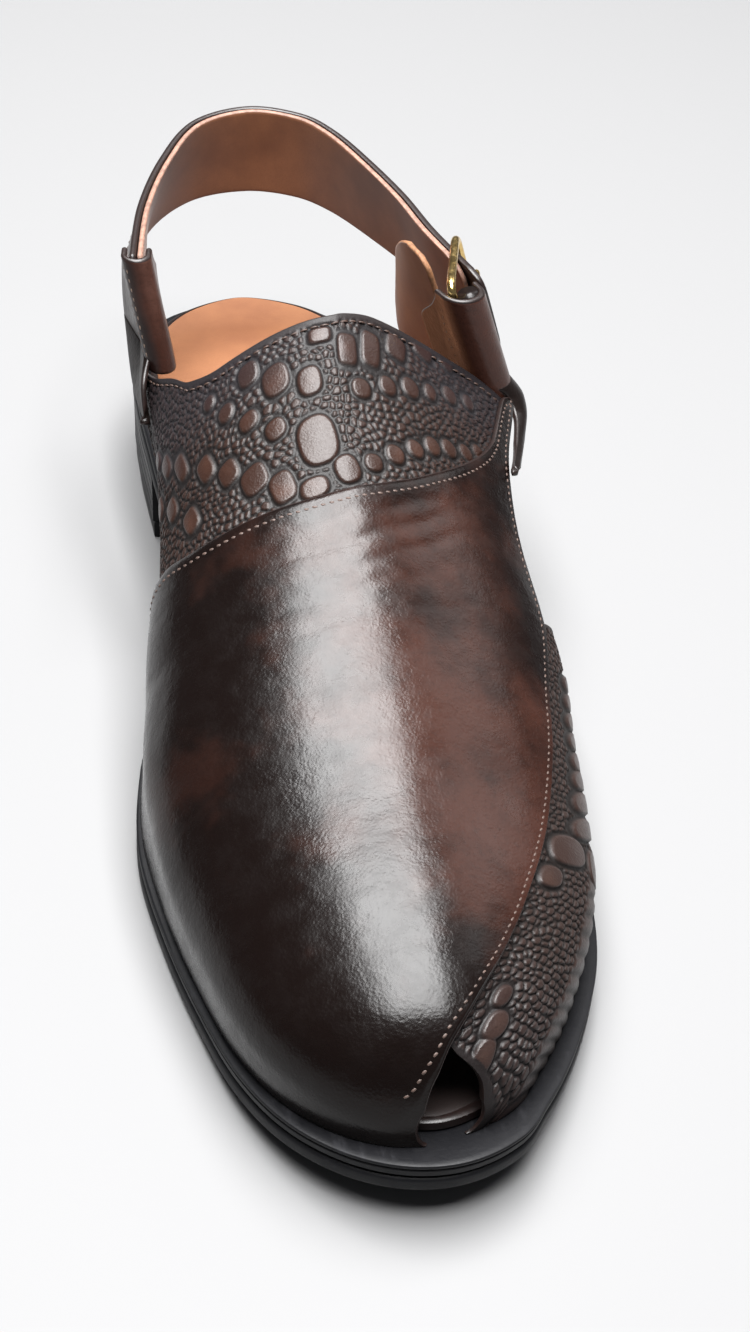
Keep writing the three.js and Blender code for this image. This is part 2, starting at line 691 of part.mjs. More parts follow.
// the chape that holds the buckle at the outer end
const chapeLeather = 1.7;
const chapeHalf = 4.2;
const chapeAhead = 4;         // centre of the roll in front of the strap's end
const chapeIn = 6.9;          // and inside the strap's own line
const chapeTop = strapWidth / 2 - 1.5;
const chapeDrop = strapWidth + 3.5;
const chapeTilt = 2;
const chapeInnerLeaf = { rear: 0.5 * strapWidth, spread: 2 };
const chapeOuterLeaf = { rear: 0.375 * strapWidth, spread: 0 };
const chapePlace = (share, rearwards, out) => (
  pastEnd(1, chapeTop - chapeDrop * share, rearwards - chapeAhead - chapeTilt * share, out - chapeIn)
);
const chapeTongue = {
  side: 1,
  front: {
    tip: lastPoint(0.572, 0.234, vampThickness + chapeLeather + 3 * clear),
    swell: [
      { t: 0, x: 0, y: 0, z: 0 },
      { t: 0.25, x: 0.223, y: 0.285, z: -0.087 },
      { t: 0.5, x: 0.310, y: 0.426, z: -0.143 },
      { t: 0.75, x: 0.238, y: 0.317, z: -0.136 },
      { t: 1, x: 0, y: 0, z: 0 },
    ],
  },
  rear: {
    tip: lastPoint(0.580, 0.220, vampThickness + chapeLeather + 3 * clear),
    swell: [
      { t: 0, x: 0, y: 0, z: 0 },
      { t: 0.25, x: 0.255, y: 0.337, z: -0.295 },
      { t: 0.5, x: 0.338, y: 0.530, z: -0.370 },
      { t: 0.75, x: 0.313, y: 0.619, z: -0.350 },
      { t: 1, x: 0, y: 0, z: 0 },
    ],
  },
};
function chape() {
  return joined(
    fold(chapePlace, chapeHalf, chapeInnerLeaf, chapeOuterLeaf, chapeLeather),
    tongue(chapePlace, chapeHalf + chapeLeather, chapeOuterLeaf, 0.5, chapeTongue, chapeLeather - 0.2),
  );
}

// flat buckle frame, its front bar in the roll and its rear bar over the strap
const buckleRear = 18;
const buckleSlack = 2.5;      // front bar inside the roll's centre
const barOut = 4.4;           // rear bar off the strap's middle surface
const buckleCorner = 2.4;
const bucklePlace = (rise, rearwards, out) => pastEnd(1, rise, rearwards - chapeAhead, out);
const framePlace = (rise, rearwards, off) => bucklePlace(rise, 0, off - chapeIn - buckleSlack)
  .lerp(bucklePlace(rise, buckleRear, off + barOut), rearwards / buckleRear);
function buckleFrame() {
  const half = strapWidth / 2 + wire / 2 + 0.6;
  const near = buckleCorner;
  const far = buckleRear - buckleCorner;
  const line = [[far, 1, 0], [near, 1, 1], [near, -1, 2], [far, -1, 3]].flatMap(([rear, side, quarter]) => (
    Array.from({ length: 5 }, (_, k) => {
      const turn = Math.PI / 2 * (quarter + k / 4);
      const rise = side * (half - buckleCorner) + buckleCorner * Math.sin(turn);
      return framePlace(rise, rear + buckleCorner * Math.cos(turn), 0);
    })
  ));
  return bar(line, wire / 2, true);
}

// the prong rises from the front bar, through the strap, and lies on the rear bar. Its course counts
// rearwards and off the frame
const prongRadius = 0.9;
const frameSlant = Math.hypot(buckleRear, barOut + chapeIn + buckleSlack) / buckleRear;
const prongOver = (wire / 2 + clear + prongRadius) * frameSlant;
const prongCourse = new THREE.SplineCurve([
  new THREE.Vector2(wire / 2 + clear + prongRadius, 0),
  new THREE.Vector2(5.5, 0.5),
  new THREE.Vector2(10, 0.2),
  new THREE.Vector2(buckleRear - 4, 0.6 * prongOver),
  new THREE.Vector2(buckleRear - 0.5, prongOver),
  new THREE.Vector2(buckleRear + 2.5, prongOver - 0.3),
]);
const prongLine = prongCourse.getPoints(14).map((spot) => framePlace(0, spot.x, spot.y));
const prong = (radius) => bar(prongLine, radius, false, 6);
const pierced = (layer) => carved(layer, prong(prongRadius + clear));

// suede leaf inside the buckle, held by the chape: rise, front and rear ends (strapWidth)
const guardOutline = [
  { rise: -1.00, front: 0.62, rear: 0.80 },
  { rise: -0.86, front: 0.42, rear: 1.08 },
  { rise: -0.72, front: 0.33, rear: 1.21 },
  { rise: -0.50, front: 0.30, rear: 1.23 },
  { rise: -0.24, front: 0.30, rear: 1.18 },
  { rise: 0.00, front: 0.30, rear: 1.13 },
  { rise: 0.25, front: 0.30, rear: 1.09 },
  { rise: 0.46, front: 0.32, rear: 0.93 },
  { rise: 0.62, front: 0.34, rear: 0.76 },
  { rise: 0.74, front: 0.42, rear: 0.62 },
];
const guardThickness = 1.6;
const guardGap = 0.55;        // inside the roll, so that it lies on the spread inner leaf
function guard() {
  const inside = chapeIn + chapeHalf + guardGap;
  const rows = guardOutline.map((row) => Array.from({ length: 9 }, (_, i) => (
    { rise: row.rise * strapWidth, rear: mix(row.front, row.rear, i / 8) * strapWidth }
  )));
  const upright = 0.6;
  const swing = 3;
  const point = (out) => (n) => {
    const stand = upright * 2 * strapCourse.at(-2).lean * n.rise * smooth((n.rear - 12) / 16);
    const turned = swing * smooth((n.rear - 16) / 26);
    return bucklePlace(n.rise, n.rear, stand + turned - inside + out);
  };
  return grid(rows, point(guardThickness), point(0));
}

// Materials and assembly

const look = (color, roughness, metalness = 0) => (
  new THREE.MeshStandardMaterial({ color, roughness, metalness })
);
const smoothLeather = look(0x2b1712, 0.35);
const embossedLeather = look(0x241613, 0.6);
const tanLeather = look(0xa35f33, 0.65);
const blackSole = look(0x17171b, 0.45);
const gold = look(0xc49a45, 0.25, 1);

const shoe = new THREE.Group();
function add(name, geometry, material) {
  const mesh = new THREE.Mesh(geometry, material);
  mesh.name = name;
  shoe.add(mesh);
}
add('outsole', outsole(), blackSole);
add('midsole', midsole(), blackSole);
add('heel', heelStack(), blackSole);
add('heel_top_lift', heelTopLift(), blackSole);
add('insole', insole(), tanLeather);
add('upper', upper(), embossedLeather);
add('vamp', vamp(), smoothLeather);
add('ankle_strap', pierced(strapBand(clear / 2, clear / 2 + strapLeather, 0)), smoothLeather);
add('ankle_strap_lining', pierced(strapBand(-clear / 2 - strapLining, -clear / 2, liningShort)), tanLeather);
add('strap_tab', strapTab(), smoothLeather);
add('buckle_chape', chape(), smoothLeather);
add('buckle_frame', buckleFrame(), gold);
add('buckle_prong', prong(prongRadius), gold);
add('buckle_guard', guard(), tanLeather);

// origin under the middle of the shoe, on the floor
const box = new THREE.Box3().setFromObject(shoe);
const middle = box.getCenter(new THREE.Vector3());
shoe.position.set(-middle.x, -middle.y, -box.min.z);
shoe.updateMatrixWorld(true);

export default shoe;
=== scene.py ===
"""Peshawari chappal, the left shoe of a pair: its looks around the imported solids.

Lengths are in millimetres until a mesh is made. While shapes are worked out, x runs from the inner
side (-) to the outer side (+), y from the toe tip of the sole (0) to the back of the heel, and z up
from the floor, as in the part's source.
"""
import math

import bpy
import numpy as np
from mathutils import Matrix, Vector


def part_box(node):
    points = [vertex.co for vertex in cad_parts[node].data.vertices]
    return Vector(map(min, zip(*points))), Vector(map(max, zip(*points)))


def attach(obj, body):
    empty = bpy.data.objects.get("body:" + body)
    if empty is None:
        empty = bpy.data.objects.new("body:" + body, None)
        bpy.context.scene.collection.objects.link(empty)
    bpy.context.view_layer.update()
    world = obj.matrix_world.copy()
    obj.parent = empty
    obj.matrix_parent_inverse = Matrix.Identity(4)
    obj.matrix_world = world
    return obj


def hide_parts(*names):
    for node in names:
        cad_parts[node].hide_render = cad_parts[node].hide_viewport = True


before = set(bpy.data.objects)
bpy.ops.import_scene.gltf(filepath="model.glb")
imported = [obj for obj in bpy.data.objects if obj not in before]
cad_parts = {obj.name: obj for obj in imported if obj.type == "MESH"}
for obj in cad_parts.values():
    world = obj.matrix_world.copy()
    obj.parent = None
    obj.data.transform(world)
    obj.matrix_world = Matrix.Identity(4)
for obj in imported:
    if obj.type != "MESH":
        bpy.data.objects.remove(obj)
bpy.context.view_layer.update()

MM = 0.001
random = np.random.default_rng(7)

# Driving sizes, as in the part's source

length = 300
ball_width = 100
instep = 64
heel_height = 20
toe_spring = 9
outsole_thickness = 4
midsole_thickness = 3.7
top_lift = 5
insole_thickness = 3
insole_gap = 0.7
clear = 0.3
wall = 1.8
vamp_thickness = 1.4
toe_ledge = 7
heel_ledge = 3
inner_ledge = 3
outer_ledge = 1.6
toe_cap = 20
strap_width = 24
strap_leather = 1.8
strap_lining = 1.5
strap_span = 80
strap_depth = 70
strap_height = 74.5
leaf = 1.5
wire = 2.2

sole_thickness = outsole_thickness + clear + midsole_thickness
last_length = length - toe_ledge - heel_ledge

# Tables. Lengths are shares of the named size beside the column.

# at (length), inner and outer half width (ball_width)
sole_outline = [
    (0.02, 0.182, 0.168), (0.05, 0.279, 0.240), (0.10, 0.366, 0.335), (0.175, 0.432, 0.436),
    (0.25, 0.476, 0.484), (0.32, 0.502, 0.502), (0.42, 0.472, 0.497), (0.50, 0.388, 0.460),
    (0.58, 0.347, 0.412), (0.65, 0.326, 0.372), (0.75, 0.335, 0.345), (0.85, 0.343, 0.343),
    (0.92, 0.325, 0.325), (0.98, 0.198, 0.198),
]

# at (last_length), rise (instep), ridge, inner swell and outer swell (ball_width), belly (rise),
# roundness of the inner and the outer side
sections = [
    (0.00, 0.375, -0.015, 0.008, 0.008, 0.30, 0.50, 0.50),
    (0.045, 0.415, -0.015, 0.008, 0.008, 0.30, 0.50, 0.48),
    (0.08, 0.467, -0.010, 0.010, 0.008, 0.30, 0.50, 0.46),
    (0.15, 0.550, -0.005, 0.010, 0.008, 0.30, 0.50, 0.46),
    (0.235, 0.623, 0.000, 0.010, 0.008, 0.31, 0.50, 0.46),
    (0.32, 0.711, 0.005, -0.002, 0.013, 0.33, 0.50, 0.45),
    (0.407, 0.798, 0.015, -0.008, 0.045, 0.36, 0.48, 0.42),
    (0.493, 0.861, 0.030, 0.035, 0.065, 0.38, 0.46, 0.36),
    (0.579, 0.931, 0.050, 0.045, 0.120, 0.40, 0.42, 0.28),
    (0.648, 0.990, 0.067, 0.050, 0.190, 0.40, 0.36, 0.20),
    (0.752, 1.030, 0.075, 0.045, 0.240, 0.40, 0.34, 0.20),
]

# outer edge of the vamp: at (last_length), across
vamp_edge = [
    (0.0006, 1.00), (0.0014, 0.80), (0.005, 0.604), (0.0155, 0.520), (0.029, 0.478),
    (0.0465, 0.435), (0.0765, 0.394), (0.114, 0.363), (0.158, 0.340), (0.2055, 0.317),
    (0.254, 0.297), (0.3085, 0.278), (0.3685, 0.265), (0.42, 0.252), (0.476, 0.245),
    (0.528, 0.238), (0.579, 0.226), (0.631, 0.205), (0.661, 0.190),
]

# back edge of the vamp: across, at (last_length)
vamp_back = [
    (0.190, 0.668), (0.215, 0.658), (0.254, 0.593), (0.303, 0.555), (0.366, 0.523), (0.419, 0.504),
    (0.470, 0.494), (0.564, 0.4865), (0.658, 0.488), (0.715, 0.4915), (0.79, 0.503), (1.00, 0.514),
]

# front edge at the toe opening: across, back from the toe (toe_cap)
toe_opening = [
    (0.00, 0.035), (0.27, 0.110), (0.37, 0.220), (0.458, 0.340), (0.479, 0.400), (0.52, 0.245),
    (0.604, 0.095), (0.82, 0.030), (1.00, 0.018),
]

# back edge of the side panel: across, at (last_length)
side_panel_back = [(0.00, 0.480), (0.12, 0.455), (0.258, 0.416)]

# back edge of the instep panel: share from the vamp's free edge to the inner sole line, at
collar = [
    (0.00, 0.663), (0.085, 0.660), (0.145, 0.656), (0.27, 0.653), (0.34, 0.646), (0.39, 0.643),
    (0.53, 0.644), (0.60, 0.646), (0.67, 0.660), (0.71, 0.683), (0.76, 0.708), (0.80, 0.735),
    (0.83, 0.750), (0.87, 0.742), (0.91, 0.700), (0.95, 0.664), (1.00, 0.640),
]

# ankle strap from above: x (strap_span), back (strap_depth), lift and lean (strap_width)
strap_course = [
    (-0.431, 0.020, 0.00, -0.100), (-0.421, 0.380, 0.02, 0.070), (-0.345, 0.706, 0.07, 0.150),
    (-0.195, 0.938, 0.13, 0.080), (0.005, 1.020, 0.15, 0.020), (0.174, 0.965, 0.14, 0.030),
    (0.277, 0.840, 0.12, 0.060), (0.378, 0.630, 0.08, 0.110), (0.468, 0.390, 0.04, 0.160),
    (0.525, 0.130, 0.01, 0.170), (0.617, -0.198, 0.00, 0.180),
]
strap_ends = 0.75 * length


# Curves and small helpers

def mix(a, b, t):
    return a + (b - a) * t


def smooth(t):
    t = np.clip(t, 0, 1)
    return t * t * (3 - 2 * t)


class Curve:
    """Smooth curve through a table that keeps its rises and falls."""

    def __init__(self, xs, ys):
        self.xs = np.array(xs, float)
        self.ys = np.array(ys, float)
        slope = np.diff(self.ys) / np.diff(self.xs)
        product = slope[:-1] * slope[1:]
        total = slope[:-1] + slope[1:]
        inside = np.where(product > 0, 2 * product / np.where(total == 0, 1, total), 0)
        self.tangent = np.concatenate([slope[:1], inside, slope[-1:]])

    def __call__(self, at):
        at = np.clip(np.asarray(at, float), self.xs[0], self.xs[-1])
        i = np.clip(np.searchsorted(self.xs, at, side="right") - 1, 0, len(self.xs) - 2)
        step = self.xs[i + 1] - self.xs[i]
        t = (at - self.xs[i]) / step
        curve_in = t * (1 - t) ** 2 * step * self.tangent[i]
        curve_out = t * t * (t - 1) * step * self.tangent[i + 1]
        return self.ys[i] + (self.ys[i + 1] - self.ys[i]) * t * t * (3 - 2 * t) + curve_in + curve_out


def column(table, key, value):
    return Curve([row[key] for row in table], [row[value] for row in table])


def taper(at):
    """Zero at both ends of the shoe, as an ellipse is."""
    return 2 * np.sqrt(np.maximum(0, at * (1 - at)))


full_inner = Curve([r[0] for r in sole_outline], [r[1] / taper(r[0]) for r in sole_outline])
full_outer = Curve([r[0] for r in sole_outline], [r[2] / taper(r[0]) for r in sole_outline])
rise_at, ridge_at, inner_swell, outer_swell, belly_at, inner_round, outer_round = (
    column(sections, 0, k) for k in range(1, 8)
)
edge_across = column(vamp_edge, 0, 1)
edge_at = Curve([r[1] for r in reversed(vamp_edge)], [r[0] for r in reversed(vamp_edge)])
back_at = column(vamp_back, 0, 1)
opening_back = column(toe_opening, 0, 1)
panel_back = column(side_panel_back, 0, 1)
collar_at = column(collar, 0, 1)


def reach(side, at):
    return ball_width * taper(at) * np.where(side > 0, full_outer(at), full_inner(at))


def centre_line(at):
    return -0.015 * ball_width * np.maximum(0, 1 - np.asarray(at) / 0.2) ** 2


ball_front = 0.283 * length
ball_back = 0.367 * length
heel_breast = 0.755 * length


def underside(y):
    spring = toe_spring * np.maximum(0, 1 - np.asarray(y, float) / ball_front) ** 1.8
    return spring + heel_height * smooth((y - ball_back) / (heel_breast - 0.01 * length - ball_back))


def seat(y):
    return underside(y) + sole_thickness


belly_share = 0.28
soft_corner = 10


def last_point(at, across, lift=0.0):
    """Points of the upper: at along the last, across over the foot, lift off the panels' face."""
    at, across, lift = np.broadcast_arrays(*(np.asarray(v, float) for v in (at, across, lift)))
    side = np.where(across < 0.5, 1.0, -1.0)
    up = 2 * np.where(across < 0.5, across, 1 - across)
    y = toe_ledge - lift + at * (last_length + lift)
    base = seat(y) + clear
    back = at * last_length
    cap = np.sqrt(np.maximum(0, 1 - np.maximum(0, 1 - back / toe_cap) ** 2))
    ledge = np.where(side > 0, outer_ledge, inner_ledge)
    edge = reach(side, at) * (1 - 2 * ledge / ball_width)
    grow = lift * edge / np.hypot(edge, soft_corner)
    swell = ball_width * np.where(side > 0, outer_swell(at), inner_swell(at)) * cap
    foot = edge + grow
    belly = edge + swell + grow
    top = base + cap * (instep * rise_at(at) - clear + lift)
    middle = centre_line(at)
    ridge = mix(middle, ball_width * ridge_at(at), cap)
    belly_height = mix(base, top, belly_at(at))
    t = np.clip(up / belly_share, 0, 1)
    low_x = middle + side * ((1 - t) ** 2 * foot + (1 - (1 - t) ** 2) * belly)
    low_z = 2 * t * (1 - t) * mix(base, belly_height, 0.35) + (1 - t) ** 2 * base + t * t * belly_height
    t = np.clip((up - belly_share) / (1 - belly_share), 0, 1)
    sideways = middle + side * belly - ridge
    fill = np.where(side > 0, outer_round(at), inner_round(at))
    high_x = ridge + sideways * ((1 - t) ** 3 + 3 * t * (1 - t) ** 2 + 3 * t * t * (1 - t) * fill)
    rise = (3 * t * (1 - t) ** 2 * fill + 3 * t * t * (1 - t) + t ** 3) * (top - belly_height)
    low = up < belly_share
    return np.stack([np.where(low, low_x, high_x), y, np.where(low, low_z, belly_height + rise)], -1)


class ArcMap:
    """Distance over the foot from the ridge line, outwards positive, in millimetres."""

    def __init__(self):
        self.rows = np.linspace(0, 0.78, 130) ** 1.2
        self.columns = np.linspace(0, 1, 241)
        points = last_point(self.rows[:, None], self.columns[None, :])
        steps = np.linalg.norm(np.diff(points, axis=1), axis=2)
        total = np.concatenate([np.zeros((len(self.rows), 1)), np.cumsum(steps, axis=1)], axis=1)
        self.side = total[:, 120:121] - total

    def __call__(self, at, across):
        at, across = np.broadcast_arrays(np.asarray(at, float), np.asarray(across, float))
        i = np.clip(np.searchsorted(self.rows, at) - 1, 0, len(self.rows) - 2)
        s = (at - self.rows[i]) / (self.rows[i + 1] - self.rows[i])
        g = np.clip(across, 0, 1) * 240
        j = np.clip(g.astype(int), 0, 239)
        t = g - j
        low = mix(self.side[i, j], self.side[i, j + 1], t)
        return mix(low, mix(self.side[i + 1, j], self.side[i + 1, j + 1], t), s)


over_foot = ArcMap()


# Meshes

turns = np.pi * np.arange(61) / 60


def outline_x(side, turn):
    at = (1 - np.cos(turn)) / 2
    return centre_line(at) + side * reach(side, at)


# the solids stand with the middle of their box on the origin
shift = np.array([
    (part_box("outsole")[0][0] / MM) - outline_x(-1, turns).min(),
    -length / 2,
    0,
])


def mesh_object(name, points, faces, materials, face_material=None, node=None, slot=None, sharp=None):
    mesh = bpy.data.meshes.new(name)
    mesh.from_pydata(((np.asarray(points) + shift) * MM).tolist(), [], faces)
    for material in materials:
        mesh.materials.append(material)
    if face_material is not None:
        mesh.polygons.foreach_set("material_index", np.asarray(face_material, np.int32))
    mesh.polygons.foreach_set("use_smooth", np.ones(len(mesh.polygons), bool))
    mesh.validate()
    if sharp:
        mesh.set_sharp_from_angle(angle=math.radians(sharp))
    obj = bpy.data.objects.new(name, mesh)
    bpy.context.scene.collection.objects.link(obj)
    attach(obj, "root")
    if node:
        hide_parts(node)
    return obj


def paint(obj, name, values):
    """A value at each vertex that a material can read."""
    layer = obj.data.attributes.new(name, "FLOAT", "POINT")
    padded = np.zeros(len(obj.data.vertices), np.float32)
    padded[:len(values)] = values
    layer.data.foreach_set("value", padded)


EDGE_STEPS = 3
EDGE_BULGE = 0.8


def unit(vectors):
    return vectors / np.maximum(np.linalg.norm(vectors, axis=-1, keepdims=True), 1e-9)


def sheet(name, outer, inner, materials, inner_material=0, **place):
    """A closed sheet between two grids of points. Its rounded edges take the second material."""
    rows, columns = outer.shape[:2]
    count = rows * columns
    index = np.arange(count).reshape(rows, columns)
    quads = np.stack([index[:-1, :-1], index[:-1, 1:], index[1:, 1:], index[1:, :-1]], -1).reshape(-1, 4)
    faces = [quads, quads[:, ::-1] + count]
    kinds = [np.zeros(len(quads)), np.full(len(quads), inner_material)]
    out = np.zeros((rows, columns, 3))
    out[0] += outer[0] - outer[1]
    out[-1] += outer[-1] - outer[-2]
    out[:, 0] += outer[:, 0] - outer[:, 1]
    out[:, -1] += outer[:, -1] - outer[:, -2]
    outer, inner, out = (grid.reshape(-1, 3) for grid in (outer, inner, out))
    points = [outer, inner]
    loop = np.concatenate([index[0], index[1:, -1], index[-1, -2::-1], index[-2:0:-1, 0]])
    size = len(loop)
    middle = (outer[loop] + inner[loop]) / 2
    half = (outer[loop] - inner[loop]) / 2
    swell = unit(out[loop]) * np.linalg.norm(half, axis=1, keepdims=True) * EDGE_BULGE
    rings = [loop]
    for step in range(1, EDGE_STEPS + 1):
        turn = math.pi * step / (EDGE_STEPS + 1)
        points.append(middle + half * math.cos(turn) + swell * math.sin(turn))
        rings.append(2 * count + (step - 1) * size + np.arange(size))
    rings.append(loop + count)
    for upper, lower in zip(rings, rings[1:]):
        faces.append(np.stack([np.roll(upper, -1), upper, lower, np.roll(lower, -1)], -1))
        kinds.append(np.ones(size))
    return mesh_object(name, np.concatenate(points), np.concatenate(faces).tolist(), materials,
                       np.concatenate(kinds), **place)


def tube(name, path, radius, materials, closed=False, sides=16, **place):
    """A round bar along a path. radius is one value or one for each point."""
    path = np.asarray(path, float)
    count = len(path)
    radius = np.broadcast_to(np.asarray(radius, float), (count,))
    along = np.roll(path, -1, axis=0) - np.roll(path, 1, axis=0)
    if not closed:
        along[0] = path[1] - path[0]
        along[-1] = path[-1] - path[-2]
    along = unit(along)
    first = unit(np.cross([1, 0.2, 0.1], along))
    second = np.cross(along, first)
    turn = 2 * np.pi * np.arange(sides) / sides
    ring = first[:, None] * np.cos(turn)[None, :, None] + second[:, None] * np.sin(turn)[None, :, None]
    points = (path[:, None] + ring * radius[:, None, None]).reshape(-1, 3)
    faces = []
    for i in range(count if closed else count - 1):
        n = (i + 1) % count
        faces += [(i * sides + k, i * sides + (k + 1) % sides, n * sides + (k + 1) % sides, n * sides + k)
                  for k in range(sides)]
    if not closed:
        faces.append(tuple(range(sides))[::-1])
        faces.append(tuple((count - 1) * sides + k for k in range(sides)))
    return mesh_object(name, points, faces, materials, **place)


def along_path(points, pitch):
    """Places at even steps along a line, with its directions there."""
    points = np.asarray(points, float)
    steps = np.linalg.norm(np.diff(points, axis=0), axis=1)
    run = np.concatenate([[0], np.cumsum(steps)])
    count = max(2, int(round(run[-1] / pitch)))
    marks = run[-1] * (np.arange(count) + 0.5) / count
    at = lambda s: np.stack([np.interp(s, run, points[:, k]) for k in range(3)], -1)
    return at(marks), unit(at(marks + 0.3) - at(marks - 0.3)), marks / run[-1]


STITCH_SINK = 0.12


class Stitches:
    """Rows of thread, gathered into one piece."""

    def __init__(self):
        self.points = []
        self.faces = []
        self.count = 0

    def row(self, path, outward, pitch, size=(1.9, 0.62, 0.5), slant=0.0):
        """path and outward are lines of the same length: places, and directions off the leather."""
        centre, ahead, share = along_path(path, pitch)
        spots = np.linspace(0, 1, len(outward))
        up = unit(np.stack([np.interp(share, spots, outward[:, k]) for k in range(3)], -1))
        across = np.cross(ahead, up)
        ahead = ahead + across * slant
        rings, sides = 5, 6
        for i in range(len(centre)):
            jitter = 1 + 0.08 * random.standard_normal(2)
            for r in range(rings):
                t = -1 + 2 * r / (rings - 1)
                fat = math.sqrt(max(0.12, 1 - abs(t) ** 2.6))
                for k in range(sides):
                    turn = 2 * math.pi * k / sides
                    self.points.append(
                        centre[i] + ahead[i] * t * size[0] / 2 * jitter[0]
                        + across[i] * math.cos(turn) * fat * size[1] / 2
                        + up[i] * (math.sin(turn) * fat * size[2] / 2 - STITCH_SINK - 0.25 * t * t)
                    )
            base = self.count
            for r in range(rings - 1):
                for k in range(sides):
                    n = (k + 1) % sides
                    self.faces.append((base + r * sides + k, base + r * sides + n,
                                       base + (r + 1) * sides + n, base + (r + 1) * sides + k))
            self.faces.append(tuple(base + k for k in range(sides))[::-1])
            self.faces.append(tuple(base + (rings - 1) * sides + k for k in range(sides)))
            self.count += rings * sides

    def finish(self, name, material, **place):
        return mesh_object(name, np.array(self.points), self.faces, [material], **place)


# Material nodes

class Nodes:
    """A material's node tree, with short calls for the nodes that are used here."""

    def __init__(self, name):
        self.material = bpy.data.materials.new(name)
        self.material.use_nodes = True
        self.tree = self.material.node_tree
        self.shader = self.tree.nodes["Principled BSDF"]
        self.place = self.add("ShaderNodeTexCoord").outputs["Object"]

    def add(self, kind, **values):
        node = self.tree.nodes.new(kind)
        for key, value in values.items():
            setattr(node, key, value)
        return node

    def link(self, source, target):
        if isinstance(source, (int, float, tuple)):
            target.default_value = source
        else:
            self.tree.links.new(source, target)

    def stretched(self, scale):
        node = self.add("ShaderNodeMapping")
        node.inputs["Scale"].default_value = scale
        self.link(self.place, node.inputs["Vector"])
        return node.outputs["Vector"]

    def noise(self, scale, detail=3.0, rough=0.5, stretch=None):
        node = self.add("ShaderNodeTexNoise")
        node.inputs["Scale"].default_value = scale
        node.inputs["Detail"].default_value = detail
        node.inputs["Roughness"].default_value = rough
        self.link(self.stretched(stretch) if stretch else self.place, node.inputs["Vector"])
        return node.outputs["Fac"]

    def cells(self, scale):
        node = self.add("ShaderNodeTexVoronoi")
        node.inputs["Scale"].default_value = scale
        self.link(self.place, node.inputs["Vector"])
        return node.outputs["Distance"]

    def painted(self, name):
        return self.add("ShaderNodeAttribute", attribute_name=name).outputs["Fac"]

    def math(self, operation, a, b=0.0, clamp=False):
        node = self.add("ShaderNodeMath", operation=operation, use_clamp=clamp)
        self.link(a, node.inputs[0])
        self.link(b, node.inputs[1])
        return node.outputs[0]

    def ramp(self, source, low, high, bottom=0.0, top=1.0):
        node = self.add("ShaderNodeMapRange", interpolation_type="SMOOTHSTEP")
        self.link(source, node.inputs["Value"])
        node.inputs["From Min"].default_value = low
        node.inputs["From Max"].default_value = high
        node.inputs["To Min"].default_value = bottom
        node.inputs["To Max"].default_value = top
        return node.outputs["Result"]

    def blend(self, share, a, b):
        node = self.add("ShaderNodeMix", data_type="RGBA")
        self.link(share, node.inputs["Factor"])
        self.link(a, node.inputs[6])
        self.link(b, node.inputs[7])
        return node.outputs[2]

    def bump(self, height, strength, distance, normal=None):
        node = self.add("ShaderNodeBump")
        node.inputs["Strength"].default_value = strength
        node.inputs["Distance"].default_value = distance
        self.link(height, node.inputs["Height"])
        if normal is not None:
            self.link(normal, node.inputs["Normal"])
        return node.outputs["Normal"]

    def done(self, color, roughness, normal=None, **fixed):
        self.link(color, self.shader.inputs["Base Color"])
        self.link(roughness, self.shader.inputs["Roughness"])
        if normal is not None:
            self.link(normal, self.shader.inputs["Normal"])
        for key, value in fixed.items():
            self.shader.inputs[key.replace("_", " ")].default_value = value
        return self.material


def rgb(red, green, blue):
    return (red, green, blue, 1.0)


def darker(color, share):
    return rgb(*(share * v for v in color[:3]))


def burnished(name, dark, warm, light, roughness):
    """Smooth waxed leather: a dark tone, warm patches, fine grain. The value painted on the mesh mixes the
    leather's own warm tone with painted light and shade.
    """
    n = Nodes(name)
    patches = n.noise(28, 4, 0.6)
    fine = n.noise(900, 3, 0.6)
    # the painted value is partly the leather's tone, partly painted light and shade
    tone_and_light = n.math("ADD", n.painted("tone_and_light"), n.ramp(patches, 0.35, 0.7, -0.2, 0.24), clamp=True)
    color = n.blend(n.ramp(tone_and_light, 0.1, 0.62), dark, warm)
    color = n.blend(n.ramp(tone_and_light, 0.6, 1.0), color, light)
    color = n.blend(n.ramp(fine, 0.45, 0.75, 0.0, 0.25), color, dark)
    grain_height = n.math("ADD", n.math("MULTIPLY", n.cells(1500), 0.7), n.noise(1700, 2, 0.6))
    normal = n.bump(grain_height, 0.26, 0.00015)
    normal = n.bump(n.noise(48, 5, 0.62), 0.5, 0.0013, normal)
    rough = n.ramp(n.noise(120, 4, 0.7), 0.3, 0.7, roughness - 0.06, roughness + 0.09)
    return n.done(color, rough, normal, Coat_Weight=0.18, Coat_Roughness=0.2, Specular_IOR_Level=0.16)


def embossed(name, low, high, worn):
    """Matt printed leather. 'relief' on the mesh is 0 in the grooves and 1 on the scales."""
    n = Nodes(name)
    relief = n.painted("relief")
    patches = n.noise(35, 4, 0.6)
    fine = n.noise(1400, 3, 0.6)
    color = n.blend(n.ramp(relief, 0.1, 0.8), low, high)
    rubbed = n.math("MULTIPLY", n.ramp(relief, 0.75, 1.0), n.ramp(patches, 0.45, 0.7), True)
    color = n.blend(rubbed, color, worn)
    # painted shade: a painted value darkens the leather towards a cool dark grey
    color = n.blend(n.math("MULTIPLY", n.painted("cool_shade"), 0.5), color, rgb(0.012, 0.011, 0.014))
    grain_height = n.math("ADD", n.noise(1700, 3, 0.6), n.math("MULTIPLY", n.cells(1900), 0.6))
    normal = n.bump(grain_height, 0.4, 0.00018)
    rough = n.ramp(relief, 0.2, 1.0, 0.6, 0.34)
    rough = n.math("ADD", rough, n.ramp(fine, 0.3, 0.7, -0.05, 0.06))
    return n.done(color, rough, normal, Coat_Weight=0.1, Coat_Roughness=0.25, Specular_IOR_Level=0.22)


